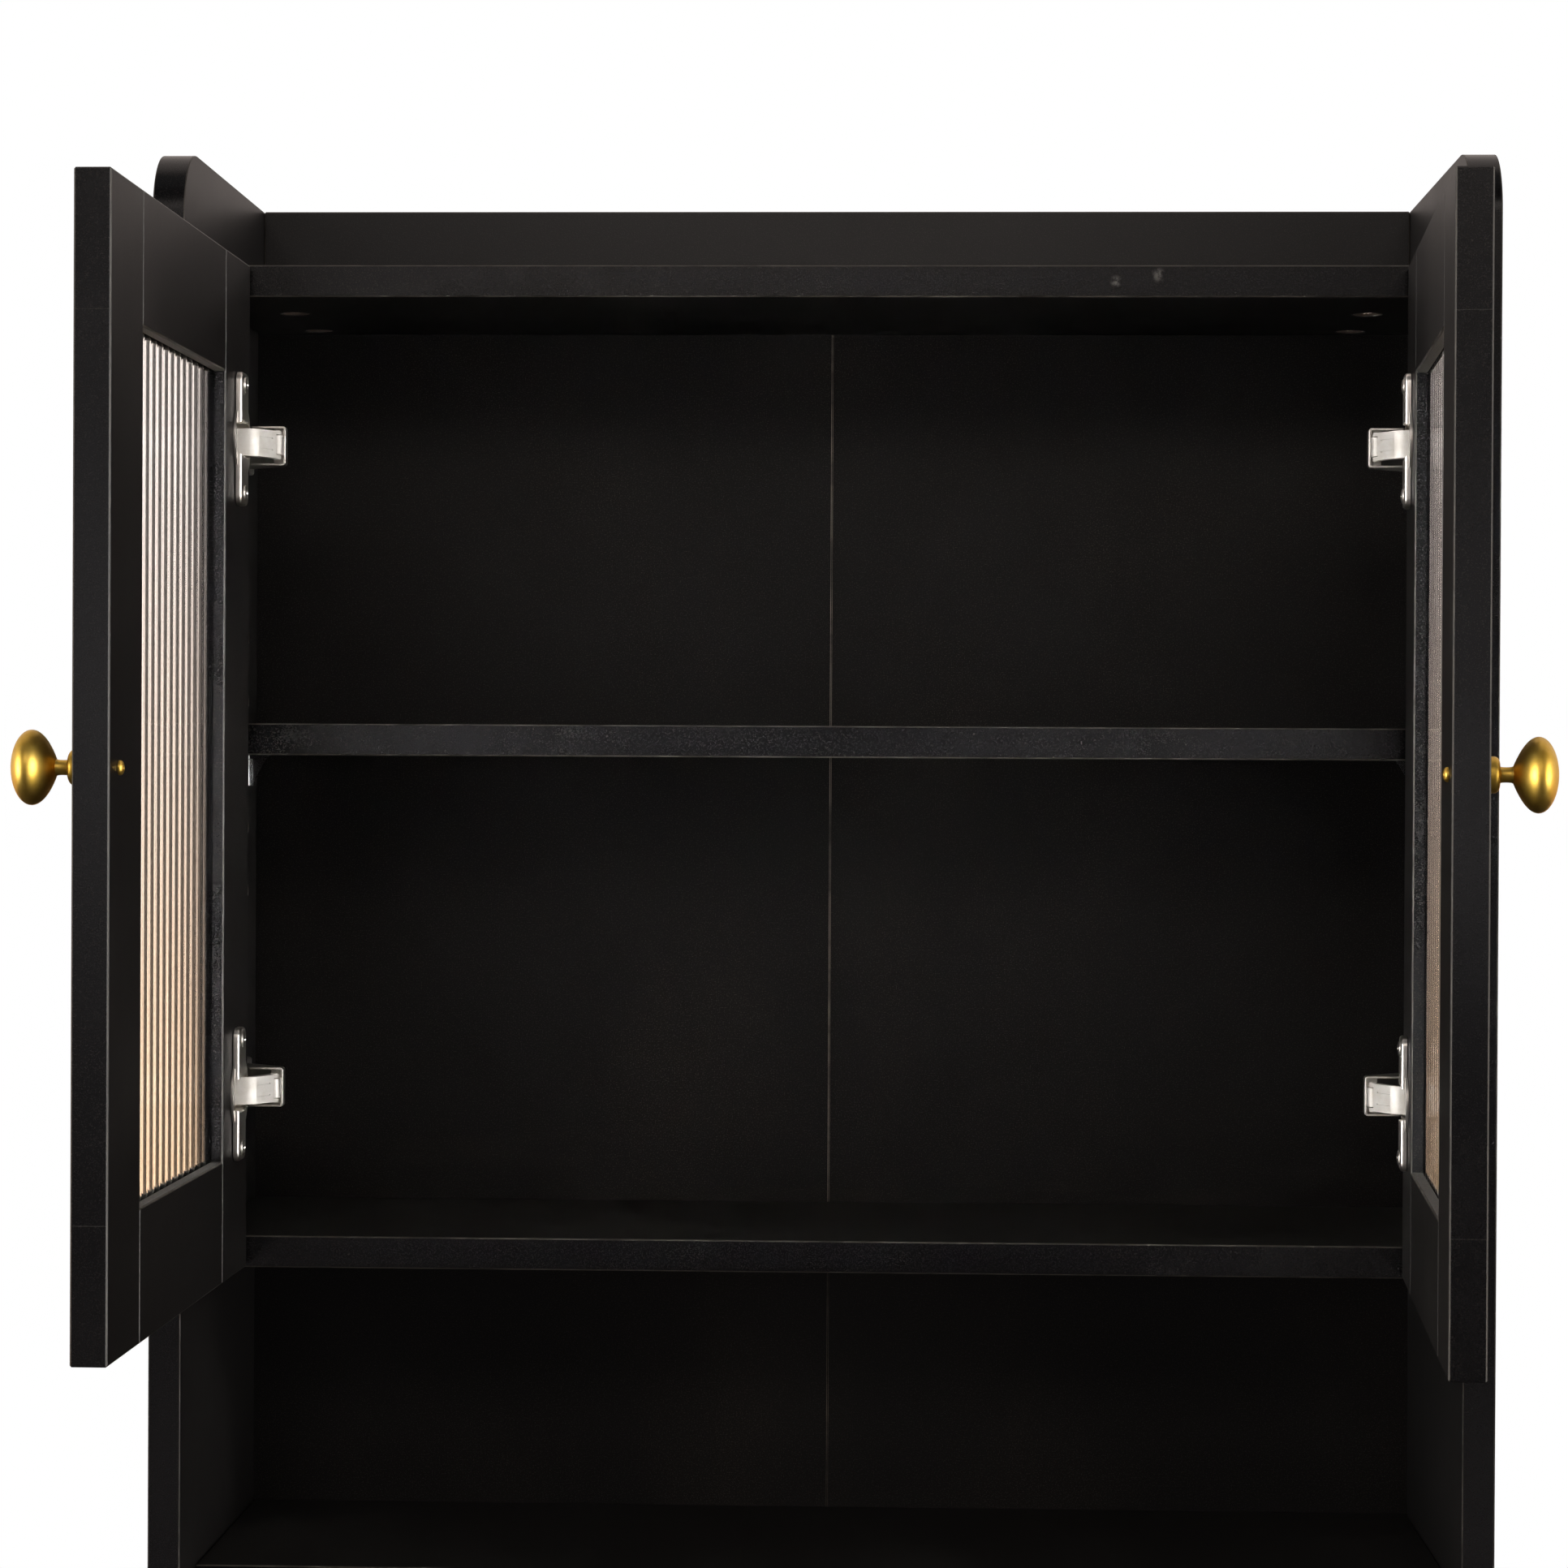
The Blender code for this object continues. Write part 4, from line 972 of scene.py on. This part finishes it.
MOUNT_HALF_HEIGHT = 0.025
MOUNT_HALF_LENGTH = 0.012
MOUNT_MIDDLE = 0.042
MOUNT_CORNER = 0.004
MOUNT_SCREW = 0.0175
MOUNT_SCREW_RADIUS = 0.0038
MOUNT_SCREW_RISE = 0.0013
SOCKET_HALF_WIDTH = 0.0060
SOCKET_HEIGHT = 0.0115
PLATE_EDGE = 0.0004

shelf_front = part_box("upper_floor")[0][1]


def hinge_arm(door, label, z):
    """In the arm's own axes X is the distance from the side panel and Y runs to the back."""
    stand = Matrix.Translation((door.hand * inside, shelf_front, z))
    place = stand @ Matrix.Diagonal((-door.hand, 1.0, 1.0, 1.0))
    roof = [(ARM_TOP, ARM_START), (ARM_TOP, ARM_CRANK_START), (ARM_TAIL_TOP, ARM_CRANK_END),
            (ARM_TAIL_TOP, ARM_LENGTH)]
    foot = [(MOUNT_PLATE + ARM_SHEET, ARM_LENGTH), (MOUNT_PLATE + ARM_SHEET, ARM_CRANK_END),
            (ARM_TOP - ARM_MOUTH_DEPTH, ARM_START)]
    channel = prism(roof + foot, -ARM_HALF_WIDTH, ARM_HALF_WIDTH)
    # The channel is open towards the side panel and at its mouth.
    open_ways = [face for face in channel.faces
                 if face.normal.z ** 2 < 0.5 and (face.normal.x < -0.3 or face.normal.y < -0.9)]
    bmesh.ops.delete(channel, geom=open_ways, context="FACES")
    folds = [edge for edge in channel.edges if len(edge.link_faces) == 2]
    eased(channel, folds, ARM_BEND, ARM_BEND_STEPS)
    bmesh.ops.solidify(channel, geom=channel.faces[:], thickness=ARM_SHEET)
    bmesh.ops.recalc_face_normals(channel, faces=channel.faces)
    finished(f"{door.name}_{label}_channel_arm", moved(channel, place), polished, "carcass",
             "nickel_steel", f"{door.name}_{label}_arm", rounding=ARM_EDGE)

    pin = (place.inverted() @ Vector((*door.arm_pin, z))).xy
    under_roof = ARM_TOP - ARM_SHEET / 2
    nose = prism([(pin.x - NOSE_RADIUS, pin.y), (pin.x + NOSE_RADIUS, pin.y),
                  (under_roof, ARM_START + ARM_SHEET), (under_roof, ARM_CRANK_START),
                  (pin.x - NOSE_RADIUS, ARM_CRANK_START)], -NOSE_HALF_WIDTH, NOSE_HALF_WIDTH)
    eye_width = 2 * NOSE_HALF_WIDTH - NOSE_TRIM
    eye = cylinder(NOSE_RADIUS, eye_width, (*pin, 0.0), "Z", NOSE_STEPS)
    nose = carved(nose, eye, "UNION")
    bridge = block((pin.x - NOSE_RADIUS, under_roof),
                   (ARM_CRANK_START - 2 * ARM_SHEET, ARM_CRANK_START),
                   (ARM_SHEET / 2 - ARM_HALF_WIDTH, ARM_HALF_WIDTH - ARM_SHEET / 2))
    nose = carved(nose, bridge, "UNION")
    finished(f"{door.name}_{label}_arm_nose", moved(nose, place), satin, "carcass", "nickel_steel",
             rounding=NOSE_EDGE)

    plate = rounded_block((CUP_SEAT, CUP_SEAT + MOUNT_PLATE),
                          (MOUNT_MIDDLE - MOUNT_HALF_LENGTH, MOUNT_MIDDLE + MOUNT_HALF_LENGTH),
                          (-MOUNT_HALF_HEIGHT, MOUNT_HALF_HEIGHT), MOUNT_CORNER, 0)
    socket = rounded_block((CUP_SEAT + MOUNT_PLATE / 2, SOCKET_HEIGHT),
                           (ARM_CRANK_END, ARM_LENGTH - 3 * ARM_SHEET),
                           (-SOCKET_HALF_WIDTH, SOCKET_HALF_WIDTH), ARM_BEND, 0)
    plate = carved(plate, socket, "UNION")
    finished(f"{door.name}_{label}_mounting_plate", moved(plate, place), satin, "carcass",
             "nickel_steel", rounding=PLATE_EDGE)

    to_room = Matrix.Rotation(math.pi / 2, 4, "Y")
    wood_screw = screw_head(MOUNT_SCREW_RADIUS, MOUNT_SCREW_RISE, PIN_RADIUS, MOUNT_PLATE)
    spots = [place @ Matrix.Translation((CUP_SEAT + MOUNT_PLATE, MOUNT_MIDDLE, up)) @ to_room
             for up in (MOUNT_SCREW, -MOUNT_SCREW)]
    finished(f"{door.name}_{label}_plate_screws", copies(wood_screw, spots), satin, "carcass",
             "nickel_steel")
    clamp_screw = screw_head(ARM_SCREW_RADIUS, ARM_SCREW_RISE, PIN_RADIUS, 3 * ARM_SHEET)
    spots = [place @ Matrix.Translation((ARM_TAIL_TOP, along, 0.0)) @ to_room
             for along in ARM_SCREWS]
    finished(f"{door.name}_{label}_arm_screws", copies(clamp_screw, spots), satin, "carcass",
             "nickel_steel")


for door in doors.values():
    for label, z in (("top_hinge", door.top - HINGE_FROM_END),
                     ("bottom_hinge", door.bottom + HINGE_FROM_END)):
        hinge_cup(door, label, z)
        hinge_link(door, label, z)
        hinge_arm(door, label, z)


# The studio: a plain pale floor under the hutch, and soft lamps before it. The small ones
# stand where the doors' and the gallery's black edges mirror them towards the camera.
FLOOR_SIZE = 6.0
FLOOR_GREY = (0.46, 0.455, 0.45, 1.0)
FLOOR_WORN = (0.52, 0.515, 0.51, 1.0)
LAMP_LINE = -2.30
EDGE_LAMP_LINE = -1.75
AT_DOORS = (0.0, 0.0, 1.2)
AT_GALLERY = (0.0, 0.0, 1.3)
WARM_LAMP = (1.0, 0.90, 0.84)
COOL_LAMP = (1.0, 0.95, 0.96)
EDGE_LAMP = (1.0, 0.93, 0.88)
SOFTBOX = (0.22, 0.28)
FLOOR_BOX = (0.16, 0.36)
EDGE_BOX = (0.25, 0.70)


def lamp(name, place, aim_at, size, watts, colour):
    """A soft rectangular lamp aimed at a point."""
    light = bpy.data.lights.new(name, "AREA")
    light.shape = "RECTANGLE"
    light.size, light.size_y = size
    light.energy = watts
    light.color = colour
    holder = bpy.data.objects.new(name, light)
    bpy.context.scene.collection.objects.link(holder)
    holder.location = place
    holder.rotation_euler = (Vector(aim_at) - Vector(place)).to_track_quat("-Z", "Y").to_euler()


lamp("high strip", (0.0, LAMP_LINE, 2.25), AT_DOORS, (1.7, 0.46), 4.4, WARM_LAMP)
lamp("high key", (-0.06, LAMP_LINE, 2.28), AT_DOORS, (0.50, 0.40), 2.6, WARM_LAMP)
lamp("left softbox", (-0.51, LAMP_LINE, 1.27), AT_DOORS, SOFTBOX, 0.55, COOL_LAMP)
lamp("right softbox", (0.30, LAMP_LINE, 1.27), AT_DOORS, SOFTBOX, 0.52, COOL_LAMP)
lamp("left flag", (-0.85, LAMP_LINE, 1.40), AT_DOORS, (0.30, 0.60), 0.45, COOL_LAMP)
lamp("left floor box", (-0.76, LAMP_LINE, 0.50), AT_DOORS, FLOOR_BOX, 0.25, (1.0, 0.90, 0.88))
lamp("right floor box", (0.64, LAMP_LINE, 0.50), AT_DOORS, FLOOR_BOX, 0.28, (1.0, 0.92, 0.90))
lamp("right edge box", (1.90, EDGE_LAMP_LINE, 1.40), AT_GALLERY, EDGE_BOX, 1.0, EDGE_LAMP)
lamp("left edge box", (-1.90, EDGE_LAMP_LINE, 1.40), AT_GALLERY, EDGE_BOX, 0.6, EDGE_LAMP)

floor_form = bmesh.new()
bmesh.ops.create_grid(floor_form, x_segments=1, y_segments=1, size=FLOOR_SIZE / 2)
floor_mesh = bpy.data.meshes.new("floor")
floor_form.to_mesh(floor_mesh)
floor_form.free()
floor = bpy.data.objects.new("floor", floor_mesh)
bpy.context.scene.collection.objects.link(floor)
floor_finish = Finish("pale floor", Roughness=0.8)
floor_finish.feed("Base Color", floor_finish.mix(floor_finish.noise(2.0), FLOOR_GREY, FLOOR_WORN))
floor_mesh.materials.append(floor_finish.material)


# The white surround: white where the camera looks past the hutch, and a dim room with two
# bright boxes beside the camera where the black boards, the metal and the panes mirror it.
ROOM_FILL = 0.008
FRONT_WALL = 0.005
SIDE_BOXES = 9.5
SIDE_WALLS = 0.15
BACK_WALL = 0.70
THROUGH_GLASS = 3.1
BACKDROP = (1.0, 1.0, 1.0, 1.0)
LOW_GLOW = (1.10, 0.72, 0.44, 1.0)
HIGH_GLOW = (1.0, 0.87, 0.81, 1.0)


class Surround(Finish):
    """The world's background, built with the same arithmetic on node sockets."""

    def __init__(self, name):
        world = bpy.data.worlds.new(name)
        bpy.context.scene.world = world
        world.use_nodes = True
        self.tree = world.node_tree
        self.shader = self.tree.nodes["Background"]

    def ray(self, kind):
        """1 on rays of one kind, and 0 on all others."""
        return self.node("ShaderNodeLightPath", {}, {}, f"Is {kind} Ray")

    def heading(self, axis):
        """How far a ray's direction points along an axis."""
        direction = self.node("ShaderNodeTexCoord", {}, {}, "Generated")
        return self.node("ShaderNodeSeparateXYZ", {}, {"Vector": direction}, axis)


surround = Surround("studio")
rearward = surround.heading("Y")
rise = surround.heading("Z")
beside = rearward.ramp(-0.74, -0.60) * rearward.ramp(-0.20, -0.05, 1.0, 0.0)
boxes = beside * rise.size().ramp(0.22, 0.30, 1.0, 0.0) * SIDE_BOXES
walls = rearward.ramp(-0.75, -0.50, FRONT_WALL, SIDE_WALLS)
walls = walls.most(rearward.ramp(-0.20, 0.10, FRONT_WALL, BACK_WALL)).most(boxes)
seen = surround.ray("Camera").most(surround.ray("Transmission") * walls * THROUGH_GLASS)
surround.feed("Strength", seen.most(surround.ray("Glossy") * walls).most(ROOM_FILL))
glow = surround.mix(rise.ramp(-0.16, 0.10), LOW_GLOW, HIGH_GLOW)
surround.feed("Color", surround.mix(surround.ray("Camera").most(beside), glow, BACKDROP))
